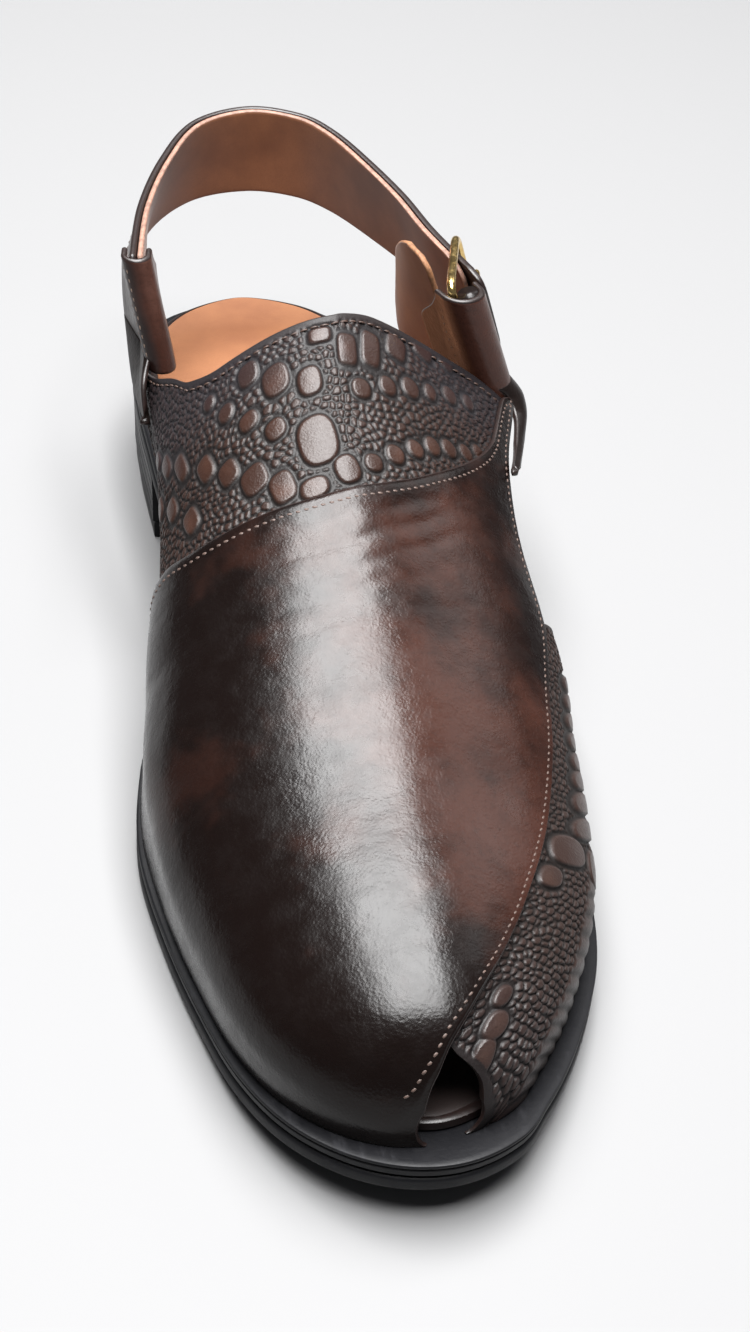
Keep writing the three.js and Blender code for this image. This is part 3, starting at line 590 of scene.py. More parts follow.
def suede(name, base, shade, roughness, nap):
    """Napped leather. Where 'dim' is painted on the mesh it falls into shadow."""
    n = Nodes(name)
    cloud = n.noise(55, 4, 0.6)
    fibre = n.noise(2200, 4, 0.7)
    color = n.blend(n.ramp(cloud, 0.3, 0.72), base, shade)
    color = n.blend(n.ramp(fibre, 0.42, 0.7, 0.0, 0.45), color, shade)
    color = n.blend(n.painted("dim"), color, rgb(0.012, 0.006, 0.005))
    normal = n.bump(fibre, 0.35 * nap, 0.00025)
    return n.done(color, roughness, normal, Sheen_Weight=0.25 * nap, Sheen_Roughness=0.5,
                  Specular_IOR_Level=0.3)


def edge_paint(name, base, roughness):
    n = Nodes(name)
    fine = n.noise(700, 3, 0.6)
    color = n.blend(n.ramp(fine, 0.35, 0.7), base, darker(base, 0.55))
    return n.done(color, roughness, n.bump(fine, 0.3, 0.0002))


def sole_black(name, base, roughness):
    n = Nodes(name)
    fine = n.noise(1100, 3, 0.65)
    scuffs = n.noise(140, 5, 0.7, stretch=(1, 0.25, 1))
    color = n.blend(n.ramp(scuffs, 0.55, 0.8, 0.0, 0.35), base, rgb(0.06, 0.06, 0.068))
    rough = n.ramp(scuffs, 0.35, 0.75, roughness, roughness + 0.18)
    normal = n.bump(fine, 0.3, 0.0002)
    normal = n.bump(n.noise(260, 3, 0.6, stretch=(1, 1, 0.3)), 0.22, 0.0004, normal)
    return n.done(color, rough, normal, Coat_Weight=0.05, Coat_Roughness=0.3, Specular_IOR_Level=0.18)


def gold(name):
    n = Nodes(name)
    rub = n.noise(180, 4, 0.6, stretch=(1, 1, 6))
    color = n.blend(n.ramp(rub, 0.3, 0.75), rgb(0.86, 0.63, 0.27), rgb(0.72, 0.49, 0.18))
    rough = n.ramp(n.noise(420, 3, 0.6), 0.3, 0.75, 0.14, 0.3)
    return n.done(color, rough, n.bump(n.noise(900, 2), 0.08, 0.0001), Metallic=1.0)


def thread(name, base):
    n = Nodes(name)
    twist = n.noise(1600, 2, 0.5, stretch=(1, 2.5, 1))
    color = n.blend(n.ramp(twist, 0.35, 0.7), base, darker(base, 0.45))
    return n.done(color, 0.6, n.bump(twist, 0.4, 0.0002))


vamp_leather = burnished("vamp_leather", rgb(0.0031, 0.0016, 0.0013), rgb(0.0263, 0.0095, 0.0063),
                         rgb(0.0526, 0.0211, 0.0137), 0.26)
strap_outer = burnished("strap_leather", rgb(0.0116, 0.0052, 0.0043), rgb(0.0368, 0.0148, 0.0105),
                        rgb(0.0684, 0.0316, 0.0237), 0.34)
chape_leather = burnished("chape_leather", rgb(0.0157, 0.0063, 0.0048), rgb(0.0526, 0.02, 0.0137),
                          rgb(0.1053, 0.0447, 0.0316), 0.3)
panel_leather = embossed("panel_leather", rgb(0.0031, 0.0018, 0.0016), rgb(0.02, 0.0089, 0.0061),
                         rgb(0.05, 0.0226, 0.0153))
side_leather = embossed("side_leather", rgb(0.0043, 0.0026, 0.0021), rgb(0.02, 0.011, 0.0089),
                        rgb(0.0395, 0.0221, 0.0168))
tan_lining = suede("tan_lining", rgb(0.1842, 0.071, 0.0305), rgb(0.1158, 0.0411, 0.0179), 0.6, 0.4)
insole_tan = suede("insole_tan", rgb(0.1947, 0.0763, 0.029), rgb(0.1473, 0.0526, 0.0194), 0.62, 0.5)
guard_suede = suede("guard_suede", rgb(0.2631, 0.1, 0.0263), rgb(0.1894, 0.0658, 0.0179), 0.85, 0.7)
upper_lining = suede("upper_lining", rgb(0.0632, 0.0237, 0.0131), rgb(0.0368, 0.0137, 0.0079), 0.65, 0.6)
# painted shadow: a near-black lining for the inside of the chape's roll and tongue
shadow_lining = suede("shadow_lining", rgb(0.0063, 0.0037, 0.0031), rgb(0.0037, 0.0021, 0.0021), 0.8, 0.3)
# painted shade: a darker copy of the strap leather for leaves that face away from the light and the filler
# inside the chape's roll
shaded_strap_leather = burnished("shaded_strap_leather", rgb(0.0052, 0.0031, 0.0026), rgb(0.0157, 0.0074, 0.0052),
                     rgb(0.0316, 0.0157, 0.0116), 0.36)
raw_edge = edge_paint("raw_edge", rgb(0.242, 0.1315, 0.0947), 0.6)
guard_edge = edge_paint("guard_edge", rgb(0.221, 0.1, 0.0447), 0.7)
dark_edge = edge_paint("dark_edge", rgb(0.0116, 0.0057, 0.0048), 0.4)
black_sole = sole_black("black_sole", rgb(0.0037, 0.0037, 0.0048), 0.48)
black_heel = sole_black("black_heel", rgb(0.0069, 0.0069, 0.0079), 0.42)
gold_metal = gold("gold_metal")
brown_thread = thread("brown_thread", rgb(0.0767, 0.0468, 0.0365))
dark_thread = thread("dark_thread", rgb(0.0447, 0.0211, 0.0137))
pale_thread = thread("pale_thread", rgb(0.221, 0.1526, 0.1158))


# Sole

SOLE_TURNS = 200
SHARP_ANGLE = 38


def sole_edge(side, turn, inset, narrow=0.0):
    """Points on the sole's edge, turn 0 at the toe and pi at the heel, moved in by inset."""
    step = 0.01
    place = lambda angle: np.stack([outline_x(side, angle), (1 - np.cos(angle)) / 2 * length], -1)
    ahead = unit(place(np.minimum(np.pi, turn + step)) - place(turn - step))
    moved = place(turn) + np.stack([-ahead[:, 1], ahead[:, 0]], -1) * side * inset
    moved[turn <= 0] = place(turn)[turn <= 0] + [0, inset]
    moved[turn >= np.pi] = place(turn)[turn >= np.pi] - [0, inset]
    return moved


def layer(name, rings, turn, place, materials, ring_material=None, **kept):
    """A layer of the sole from the bottom ring up, each ring an inset and a height over y."""
    open_front = turn[0] > 0
    lines = []
    for inset, height in rings:
        outer = place(1, turn, inset)
        inner = place(-1, turn, inset)
        inner = inner[-2::-1] if open_front else inner[-2:0:-1]
        edge = np.concatenate([outer, inner])
        lines.append(np.column_stack([edge, height(edge[:, 1]) + 0 * edge[:, 1]]))
    size = len(lines[0])
    ring = np.arange(size)
    faces = []
    kinds = []
    for r in range(len(rings) - 1):
        quads = np.stack([r * size + ring, r * size + np.roll(ring, -1),
                          (r + 1) * size + np.roll(ring, -1), (r + 1) * size + ring], -1)
        faces += quads.tolist()
        kinds += [ring_material[r] if ring_material else 0] * size
    half = len(turn)
    partner = lambda i: (size - i) % size if not open_front else (2 * half - 2 - i)
    for base, flip in ((0, True), ((len(rings) - 1) * size, False)):
        for i in range(half - 1):
            face = []
            for k in (i, i + 1, partner(i + 1), partner(i)):
                if base + k not in face:
                    face.append(base + k)
            if len(face) > 2:
                faces.append(tuple(face[::-1] if flip else face))
                kinds.append(ring_material[-1] if ring_material else 0)
    return mesh_object(name, np.concatenate(lines), faces, materials, kinds, sharp=SHARP_ANGLE, **kept)


def build_sole():
    turn = np.pi * np.arange(SOLE_TURNS + 1) / SOLE_TURNS
    over = lambda rise: (lambda y: underside(y) + rise)
    t = outsole_thickness
    layer("outsole_fine", [
        (1.2, over(0)), (0.5, over(0.15)), (0.1, over(0.7)), (0.0, over(1.2)), (0.0, over(t - 1.1)),
        (0.15, over(t - 0.6)), (0.7, over(t - 0.1)), (1.3, over(t)),
    ], turn, sole_edge, [black_sole], node="outsole", slot="outsole")
    under = lambda drop: (lambda y: seat(y) - drop)
    t = midsole_thickness
    layer("midsole_fine", [
        (1.3, under(t)), (0.6, under(t - 0.1)), (0.25, under(t - 0.5)), (0.15, under(t - 1.0)),
        (0.15, under(1.75)), (0.35, under(1.5)), (0.55, under(1.35)), (0.4, under(1.2)),
        (0.1, under(1.0)), (0.0, under(0.7)), (0.0, under(0.42)), (0.15, under(0.15)), (0.5, under(0.0)),
        (1.6, under(0.0)),
    ], turn, sole_edge, [black_sole], node="midsole", slot="midsole")
    breast = math.acos(1 - 2 * heel_breast / length)
    heel = np.linspace(breast, np.pi, 70)
    flat = lambda z: (lambda y: z)
    stack = [(1.0, flat(top_lift + clear)), (0.55, flat(top_lift + clear + 0.4))]
    for k in range(1, 4):
        z = mix(top_lift + clear, heel_height - clear, k / 4)
        inset = mix(0.6, 0.25, k / 4)
        stack += [(inset, flat(z - 0.25)), (inset + 0.3, flat(z)), (inset, flat(z + 0.25))]
    stack += [(0.2, flat(heel_height - clear - 0.4)), (0.5, flat(heel_height - clear))]
    layer("heel_fine", stack, heel, sole_edge, [black_heel], node="heel", slot="heel")
    layer("heel_top_lift_fine", [
        (1.9, flat(0)), (1.1, flat(0.25)), (0.9, flat(0.9)), (0.9, flat(top_lift - 0.4)),
        (1.2, flat(top_lift)),
    ], heel, sole_edge, [black_heel], node="heel_top_lift", slot="heel_top_lift")


def build_insole():
    turn = np.pi * np.arange(SOLE_TURNS + 1) / SOLE_TURNS

    def place(side, turn, inset):
        across = 0 if side > 0 else 1
        return last_point((1 - np.cos(turn)) / 2, across, -wall - insole_gap - inset)[:, :2]

    over = lambda rise: (lambda y: seat(y) + rise)
    t = insole_thickness
    obj = layer("insole_fine", [
        (0.3, over(clear)), (0.0, over(clear + 0.3)), (0.0, over(t - 0.9)), (0.1, over(t - 0.35)),
        (0.5, over(t - 0.08)), (1.0, over(t)), (1.5, over(t + 0.05)), (1.9, over(t - 0.25)),
        (2.3, over(t + 0.02)), (4.0, over(t)),
    ], turn, place, [insole_tan, dark_edge], [1, 1, 1, 1, 1, 1, 1, 0, 0, 0], node="insole", slot="insole")
    spots = np.empty(3 * len(obj.data.vertices))
    obj.data.vertices.foreach_get("co", spots)
    back = spots[1::3] / MM - shift[1]
    paint(obj, "dim", smooth((62 - back) / 30))


# Printed relief of the embossed panels

def pebbles(u, v, cell, seed, jitter=0.36):
    """Small domes, height 0 to 1, on a shifted grid of cells."""
    rows = v / cell
    columns = u / cell
    ci = np.floor(columns).astype(int)
    cj = np.floor(rows).astype(int)
    nearest = np.full(u.shape, 9.0)
    second = np.full(u.shape, 9.0)
    for di in (-2, -1, 0, 1, 2):
        for dj in (-1, 0, 1):
            i = ci + di
            j = cj + dj
            h = np.sin(i * 127.1 + j * 311.7 + seed) * 43758.5453
            g = np.sin(i * 269.5 + j * 183.3 + seed * 1.7) * 24634.6345
            x = i + 0.5 + 0.5 * (j % 2) + jitter * ((h - np.floor(h)) - 0.5) * 2
            y = j + 0.5 + jitter * ((g - np.floor(g)) - 0.5) * 2
            d = np.hypot(columns - x, rows - y)
            second = np.where(d < nearest, nearest, np.minimum(second, d))
            nearest = np.minimum(nearest, d)
    return smooth((second - nearest) / 0.42)


def scale_field(u, v, scales):
    """Height of large flat scales with a groove round each, and how far each point is inside one."""
    height = np.zeros(u.shape)
    groove = np.zeros(u.shape)
    for side, back, wide, long, turn, corner in scales:
        c, s = math.cos(math.radians(turn)), math.sin(math.radians(turn))
        x = ((u - side) * c + (v - back) * s) / (wide / 2)
        y = (-(u - side) * s + (v - back) * c) / (long / 2)
        d = (np.abs(x) ** corner + np.abs(y) ** corner) ** (1 / corner)
        near = min(wide, long) / 2
        inside = smooth((1 - d) * near / 0.9 + 0.5)
        height = np.maximum(height, inside * (0.86 + 0.14 * smooth(1 - d)))
        groove = np.maximum(groove, smooth(1 - np.abs((d - 1.0) * near - 0.5) / 1.0))
    return height, groove


# scales of the instep panel: side of the ridge and back from the toe (mm), width, length, turn, corner
instep_scales = [
    (-4, 189, 5.5, 4.0, 0, 3.5), (2.5, 185, 4.8, 8.0, 0, 4), (9, 187, 5.0, 9.5, -6, 4),
    (17, 191, 5.6, 7.0, -14, 4), (26, 195, 6.0, 5.0, -20, 3.5), (34, 196, 5.0, 4.0, -25, 3),
    (-23, 187, 5.6, 6.6, 10, 2.6), (-15.5, 181.5, 6.8, 8.4, 14, 2.6), (-7, 178, 5.8, 7.4, 10, 2.6),
    (5.5, 175.5, 4.8, 5.0, 0, 2.3), (13, 178.5, 4.5, 5.0, -8, 2.3), (20, 181, 5.0, 5.4, -12, 2.3),
    (26.5, 183, 3.8, 4.6, -16, 2.3), (33.5, 186, 4.6, 4.7, -18, 2.3), (40.5, 188, 4.0, 4.2, -20, 2.3),
    (-35, 187, 3.6, 4.2, 18, 2.3), (-29.5, 180.5, 4.4, 5.0, 20, 2.3), (-23, 174.5, 5.1, 5.0, 20, 2.5),
    (-16, 169, 5.1, 5.4, 22, 2.5), (-6, 163, 9.2, 12.4, 12, 2.6),
    (0.5, 155, 5.8, 7.0, 20, 2.5), (7, 157, 4.4, 4.4, 0, 2.3), (13, 160.5, 4.8, 4.8, -8, 2.3),
    (19, 164, 4.6, 4.5, -12, 2.3), (24.5, 167, 4.6, 4.8, -16, 2.3), (30, 169, 4.6, 4.5, -20, 2.3),
    (36, 171, 4.2, 4.0, -22, 2.3), (41, 174, 3.8, 3.8, -22, 2.3),
    (-45, 177, 3.8, 8.6, 24, 3.2), (-36, 170, 4.6, 7.4, 24, 3.2), (-29, 164.5, 5.2, 6.6, 22, 3),
    (-22, 159, 6.6, 7.4, 20, 3), (-15, 154, 5.9, 8.0, 18, 3), (-7.5, 151.5, 6.8, 5.2, 8, 2.6),
    (-52, 183, 3.6, 7.6, 26, 3.2), (-58, 190, 3.4, 6.8, 28, 3.2), (-49, 169, 4.0, 7.0, 24, 3.2),
    (-41, 160, 4.6, 7.2, 24, 3.2), (-57, 176, 4.0, 7.0, 26, 3.2),
]


def instep_relief(u, v):
    scale, groove = scale_field(u, v, instep_scales)
    warp = 0.8 * np.sin(v * 0.23 + 0.4) + 0.6 * np.sin(u * 0.19)
    small = 0.62 * pebbles(u + warp, v + 0.5 * warp, 2.0, 3.1)
    base = np.where(scale > 0.02, 0, small * (1 - groove))
    return np.maximum(scale, base)


# scales of the side panel: below the vamp's edge and back from the toe (mm), width, length, turn, corner
side_scales = [
    (8.7, 13.8, 4.5, 5.5, 0, 2.3), (8.1, 18.8, 5.0, 5.6, 0, 2.3), (6.3, 24.2, 3.8, 4.8, 0, 2.3),
    (6, 55.5, 6.5, 6.0, 10, 2.4), (9.5, 65, 11.5, 8.5, 20, 2.5), (21, 67.5, 8.5, 9.5, 20, 2.5),
    (15.5, 76, 13.5, 5.6, 40, 2.6), (15.5, 84.5, 14, 5.4, 42, 2.6), (15.5, 91.8, 14, 5.0, 43, 2.6),
    (16, 98.3, 14.5, 4.6, 44, 2.6), (16, 104.7, 14.5, 4.5, 44, 2.6), (16, 111, 14.5, 4.4, 44, 2.6),
    (16, 117, 14, 4.3, 44, 2.6), (16, 123, 14, 4.3, 44, 2.6), (27, 78, 11, 4.6, 38, 2.6),
    (27.5, 85, 9, 4.6, 38, 2.6),
]
rib_marks = np.arange(-40.0, 140.0, 0.5)
rib_count = np.cumsum(0.5 / mix(3.4, 5.6, smooth((rib_marks - 15) / 35)))


def side_relief(w, v):
    """w below the vamp's edge, v from the toe. Slanted ribs lie along the panel's foot."""
    scale, groove = scale_field(w, v, side_scales)
    small = 0.62 * pebbles(w + 0.6 * np.sin(v * 0.2), v, 1.9, 8.3)
    base = np.where(scale > 0.02, 0, small * (1 - groove))
    phase = np.interp(v - 0.7 * (w - 22), rib_marks, rib_count)
    rib = 0.35 + 0.35 * smooth(1.25 - 2.4 * np.abs(phase - np.floor(phase) - 0.5))
    start = np.interp(v, [15, 35, 60, 74, 79], [22, 20, 17, 17, 60])
    return np.maximum(scale, mix(base, rib, smooth((w - start) / 1.5) * (1 - scale)))


# Upper

RELIEF = 0.8
RELIEF_SUNK = 0.75 * RELIEF
PANEL_DEPTH = 0.7
LINING_DEPTH = 0.75
PANEL_TOP, PANEL_END = side_panel_back[-1]


def free_edge(at):
    """Where the upper's lower edge lies over the foot, on the outer side."""
    behind_panel = np.minimum(PANEL_TOP, edge_across(at) + 0.008)
    return np.where(at <= PANEL_END, PANEL_TOP, behind_panel)


def build_lining():
    """The inside of the upper, from the toe opening to the collar."""
    rows = 120
    columns = 90
    share = np.linspace(0, 1, rows)[:, None]
    start = opening_back(mix(PANEL_TOP, 1, share)) * toe_cap / last_length
    end = collar_at(share)
    t = np.linspace(0, 1, columns)[None, :] ** 1.5
    at = mix(start + 0.0015, end - 0.0015, t)
    across = mix(free_edge(at), 1, share)
    outer = last_point(at, across, -LINING_DEPTH)
    inner = last_point(at, across, -wall)
    sheet("upper_lining", outer, inner, [upper_lining, dark_edge],
          node="upper", slot="upper")


def build_instep_panel():
    """Printed leather over the instep, from under the vamp to the collar."""
    rows = 330
    columns = 210
    share = np.linspace(0, 1, rows)[:, None]
    end = collar_at(share)
    start = end
    for _ in range(12):
        start = mix(start, back_at(mix(free_edge(start), 1, share)) - 0.03, 0.6)
    at = mix(start, end, np.linspace(0, 1, columns)[None, :])
    across = mix(free_edge(at), 1, share)
    u = over_foot(at, across)
    v = toe_ledge + at * last_length
    relief = instep_relief(u, v)
    rim = (end - at) * last_length
    calm = smooth((rim - 1.0) / 1.2)
    under_vamp = smooth((at - back_at(across)) * last_length / 1.0 + 0.2)
    fold = 0.35 * smooth(1 - rim / 1.6)
    lift = (relief * RELIEF - RELIEF_SUNK) * calm * under_vamp - 0.1 * (1 - under_vamp) + 0.2 * fold
    outer = last_point(at, across, lift)
    inner = last_point(at, across, -PANEL_DEPTH)
    panel = sheet("instep_panel", outer, inner, [panel_leather, dark_edge], node="upper", slot="upper")
    paint(panel, "relief", np.where(calm < 0.5, 0.3, relief).ravel())
    # painted shade with a cool tint: darker towards the collar and on the flanks away from the ridge
    cool_shade = smooth((v - 170) / 25) * (0.35 + 0.65 * smooth((np.abs(u - 5) - 4) / 30))
    paint(panel, "cool_shade", cool_shade.ravel())


def build_side_panel():
    """Printed leather at the outer side of the toe, from the sole to under the vamp."""
    rows = 150
    columns = 380
    share = np.linspace(0, 1, rows)[:, None]
    across_row = share * PANEL_TOP
    t = np.linspace(0, 1, columns)[None, :]
    start = opening_back(across_row) * toe_cap / last_length
    end = panel_back(across_row)
    at = mix(start, end, t ** 1.35)
    top = edge_across(at) + 0.03
    across = share * np.maximum(top, 0.03)
    front = opening_back(np.clip(across, 0, 1)) * toe_cap / last_length
    at = np.maximum(at, front)
    u = over_foot(at, across)
    w = u - over_foot(at, edge_across(at))
    v = toe_ledge + at * last_length
    relief = side_relief(w, v)
    front_rim = (at - front) * last_length
    back_rim = (end - at) * last_length
    calm = smooth((np.minimum(front_rim, back_rim) - 0.6) / 1.2)
    shown = smooth(w / 1.0 + 0.2)
    lift = (relief * RELIEF - RELIEF_SUNK) * calm * shown
    outer = last_point(at, across, lift)
    inner = last_point(at, across, -PANEL_DEPTH)
    panel = sheet("side_panel", outer, inner, [side_leather, dark_edge], node="upper", slot="upper")
    paint(panel, "relief", np.where(calm < 0.5, 0.25, relief).ravel())
    # painted shade with a cool tint: darker towards the toe
    paint(panel, "cool_shade", 0.35 * smooth((40 - v) / 30).ravel())


VAMP_LOW = clear + 0.15

# creases of the vamp: back from the instep seam, depth, length over the foot, side of the ridge
vamp_creases = [
    (7, 0.22, 26, -4), (12, 0.28, 30, -2), (18, 0.2, 24, 4), (25, 0.16, 22, -6), (33, 0.1, 20, 2),
]


def build_vamp():
    """Smooth leather over the panels, with soft creases under the instep seam."""
    rows = 300
    columns = 230
    across = mix(vamp_edge[-1][1], 1, np.linspace(0, 1, rows))[:, None]
    start = edge_at(across)
    end = back_at(across)
    at = mix(start, end, np.linspace(0, 1, columns)[None, :] ** 1.5)
    u = over_foot(at, across)
    v = toe_ledge + at * last_length
    behind = (end - at) * last_length
    crease = np.zeros(at.shape)
    for back, deep, reach_over, side in vamp_creases:
        wave = 1.4 * np.sin(u * 0.11 + back) + 0.5 * np.sin(u * 0.37 + 2 * back)
        line = np.exp(-((behind - back + wave) / 1.7) ** 2)
        crease -= deep * line * np.exp(-((u - side) / reach_over) ** 2)
    edge_near = np.minimum((at - start) * last_length, behind)
    roll = -0.25 * smooth(1 - edge_near / 1.2)
    lift = VAMP_LOW + vamp_thickness + crease + roll
    outer = last_point(at, across, lift)
    inner = last_point(at, across, VAMP_LOW)
    vamp = sheet("vamp_leather", outer, inner, [vamp_leather, dark_edge],
                 node="vamp", slot="vamp")
    # painted light and shade over the leather's own warm tone: lighter patches beside the ridge and on the
    # outer side, a painted highlight where the overhead light falls; dark on the inner side, painted shade;
    # darker at the toe and near the instep seam
    middle = np.exp(-((u - 4) / 26) ** 2)
    outer_side = np.exp(-((u - 34) / 16) ** 2)
    toe_dark = smooth((v - 16) / 34)
    seam_dark = smooth(behind / 10)
    tone_and_light = (0.42 * middle + 0.34 * outer_side) * mix(0.12, 1, toe_dark) * mix(0.55, 1, seam_dark)
    paint(vamp, "tone_and_light", tone_and_light.ravel())


def surface_line(at, across, lift):
    """A line on the upper with the directions off it."""
    return last_point(at, across, lift), last_point(at, across, lift + 1) - last_point(at, across, lift)


def build_upper_stitches():
    brown = Stitches()
    dark = Stitches()
    bold = {"pitch": 2.0, "size": (1.75, 0.85, 0.6), "slant": 0.2}
    top = VAMP_LOW + vamp_thickness
    t = np.linspace(0.01, 0.985, 400)
    across = mix(0.99, 0.18, t)
    across = across[edge_at(across) > 0.004]
    at = edge_at(across) + 2.0 / last_length
    brown.row(*surface_line(at, across + 0.006, top), **bold)
    across = np.linspace(0.2, 0.97, 400)
    at = back_at(across) - 2.4 / last_length
    brown.row(*surface_line(at, across, top), **bold)
    share = np.linspace(0.02, 0.93, 400)
    end = collar_at(share)
    at = end - 2.2 / last_length
    across = mix(free_edge(at), 1, share)
    dark.row(*surface_line(at, across, 0.05), pitch=2.5)
    brown.finish("vamp_stitches", brown_thread, slot="vamp")
    dark.finish("collar_stitches", dark_thread, slot="upper")


# Ankle strap

def spline(values, t):
    """The even spline through the table's points, as the solids use it."""
    values = np.asarray(values, float)
    p = (len(values) - 1) * np.asarray(t, float)
    i = np.clip(np.floor(p).astype(int), 0, len(values) - 1)
    w = p - i
    last = len(values) - 1
    p0 = values[np.where(i == 0, i, i - 1)]
    p1 = values[i]
    p2 = values[np.where(i > last - 1, last, i + 1)]
    p3 = values[np.where(i > last - 2, last, i + 2)]
    v0 = (p2 - p0) * 0.5
    v1 = (p3 - p1) * 0.5
    return ((2 * p1 - 2 * p2 + v0 + v1) * w ** 3 + (-3 * p1 + 3 * p2 - 2 * v0 - v1) * w ** 2 + v0 * w + p1)


strap_table = np.array(strap_course)


def strap_middle(share):
    share = np.clip(share, 0, 1)
    return np.stack([
        spline(strap_table[:, 0], share) * strap_span,
        strap_ends + spline(strap_table[:, 1], share) * strap_depth,
        strap_height + spline(strap_table[:, 2], share) * strap_width,
    ], -1)


def strap_point(share, rise, out):
    share, rise, out = np.broadcast_arrays(*(np.asarray(v, float) for v in (share, rise, out)))
    step = 0.004
    ahead = strap_middle(share + step) - strap_middle(share - step)
    ahead[..., 2] = 0
    ahead = unit(ahead)
    outward = np.stack([-ahead[..., 1], ahead[..., 0], 0 * share], -1)
    lean = spline(strap_table[:, 3], share)
    up = np.stack([0 * share, 0 * share, rise], -1)
    return strap_middle(share) + outward * (out - 2 * lean * rise)[..., None] + up


even = strap_middle(np.linspace(0, 1, 101))
strap_length = np.linalg.norm(np.diff(even, axis=0), axis=1).sum()


def past_end(end, rise, rearwards, out):
    """Places round an end of the strap: rise from its middle line, rearwards, outwards."""
    rise, rearwards, out = np.broadcast_arrays(*(np.asarray(v, float) for v in (rise, rearwards, out)))
    share = np.abs(end - np.maximum(rearwards, 0) / strap_length)
    forward = strap_middle(np.array(float(end))) - strap_middle(np.array(abs(end - 0.01)))
    forward[2] = 0
    return strap_point(share, rise, out) + unit(forward) * np.maximum(-rearwards, 0)[..., None]


lining_short = 6.5
strap_corner = 5
STRAP_STEPS = 260
STRAP_ROWS = 33


def build_strap():
    half = strap_width / 2
    rise = np.linspace(-half, half, STRAP_ROWS)[None, :]
    soft = 0.12 * (np.abs(rise) / half) ** 6
    into = np.clip((np.abs(rise) - half + strap_corner) / strap_corner, 0, 1)
    cut = strap_corner * (1 - np.sqrt(1 - into ** 2))

    def face(setback, out, puff):
        share = np.linspace(0, 1, STRAP_STEPS)[:, None] * (1 - (setback + cut) / strap_length)
        sag = 0.1 * np.sin(share * 23) * (rise / half) ** 2
        return strap_point(share, rise, out + puff + sag)

    strap = sheet("strap_leather", face(0, clear / 2 + strap_leather, -soft), face(0, clear / 2, 0),
                  [strap_outer, dark_edge], node="ankle_strap", slot="ankle_strap")
    paint(strap, "tone_and_light", np.full(STRAP_STEPS * STRAP_ROWS, 0.3))
    sheet("strap_lining", face(lining_short, -clear / 2, 0),
          face(lining_short, -clear / 2 - strap_lining, soft), [tan_lining, raw_edge],
          node="ankle_strap_lining", slot="ankle_strap_lining")
    threads = Stitches()
    for height in (-half + 2.2, half - 2.2):
        line = np.linspace(0.02, 0.93, 600)
        path = strap_point(line, height, clear / 2 + strap_leather)
        away = strap_point(line, height, 5) - strap_point(line, height, 4)
        threads.row(path, away, pitch=2.8)
    threads.finish("strap_stitches", dark_thread, slot="ankle_strap")


LEAF_START = 0.2
LEAF_ROUND = 0.45
FOLD_ROWS = 60
FOLD_COLUMNS = 81
fold_q = np.linspace(0, 1, FOLD_COLUMNS)


def fold_profile(share, radius, inner_leaf, outer_leaf, q):
    """Rearwards and outwards of a fold's section, q from the inner leaf's end to the outer leaf's end."""
    full = mix(LEAF_START, 1, smooth(share / LEAF_ROUND))
    inner = np.clip(1 - q / 0.3, 0, 1) * full
    outer = np.clip((q - 0.7) / 0.3, 0, 1) * full
    turn = -np.pi / 2 - np.pi * np.clip((q - 0.3) / 0.4, 0, 1)
    rear = radius * np.cos(turn) + inner_leaf[0] * inner + outer_leaf[0] * outer
    out = radius * np.sin(turn) - inner_leaf[1] * inner ** 1.5 + outer_leaf[1] * outer ** 1.5
    return rear, out


def fold_sheet(name, place, half, inner_leaf, outer_leaf, thickness, materials, **kept):
    """Leather folded round a strap's end, inner leaf, round front, outer leaf."""
    share = np.linspace(0, 1, FOLD_ROWS)[:, None]
    face = lambda radius: place(share, *fold_profile(share, radius, inner_leaf, outer_leaf, fold_q))
    return sheet(name, face(half + thickness), face(half), materials, **kept)


TONGUE_START = 0.9


def tongue_sheet(name, place, radius, outer_leaf, first, lines, thickness, materials, **kept):
    """Lower end of a fold's outer leaf, between two lines that swell off the straight way to a tip."""
    share = np.linspace(0, 1, 40)
    top = fold_profile(TONGUE_START, radius, (0, 0), outer_leaf, mix(first, 1, share))
    top = place(TONGUE_START, *top)
    t = np.linspace(0, 1, 50)

    def line(start, tip, swell):
        off = np.stack([column(swell, 0, k)(t) for k in (1, 2, 3)], -1)
        return mix(start, tip, t[:, None]) + off * strap_width

    front = line(top[0], *lines[0])[:, None]
    rear = line(top[-1], *lines[1])[:, None]
    curl = top - mix(top[0], top[-1], share[:, None])
    outer = mix(front, rear, share[None, :, None]) + curl[None] * (1 - 0.75 * smooth(t))[:, None, None]
    normal = unit(np.cross(np.gradient(outer, axis=0), np.gradient(outer, axis=1)))
    side = np.sign((normal * (outer - place(TONGUE_START, 0, 0))).sum(axis=2).mean())
    sheet(name, outer + normal * side * 0.08, outer - normal * side * thickness, materials, **kept)


tab_top = strap_width / 2 + 0.5
tab_drop = strap_width + 3.5
tab_half = max(strap_leather, strap_lining) + clear / 2 + clear
tab_tilt = 7
tab_inner_leaf = (0.54 * strap_width, 0)
tab_outer_leaf = (0.71 * strap_width, 0.8)


def tab_place(share, rearwards, out):
    return past_end(0, tab_top - tab_drop * share, rearwards - tab_tilt * share, out)


# tip, and how far the line swells off the straight way there: share of the way, x, y, z (strap_width)
tab_tongue = [
    (last_point(0.692, 0.871, leaf + clear), [(0, 0, 0, 0), (0.5, -0.045, -0.021, 0.093), (1, 0, 0, 0)]),
    (last_point(0.695, 0.874, leaf + clear), [(0, 0, 0, 0), (0.5, -0.028, -0.091, -0.123), (1, 0, 0, 0)]),
]


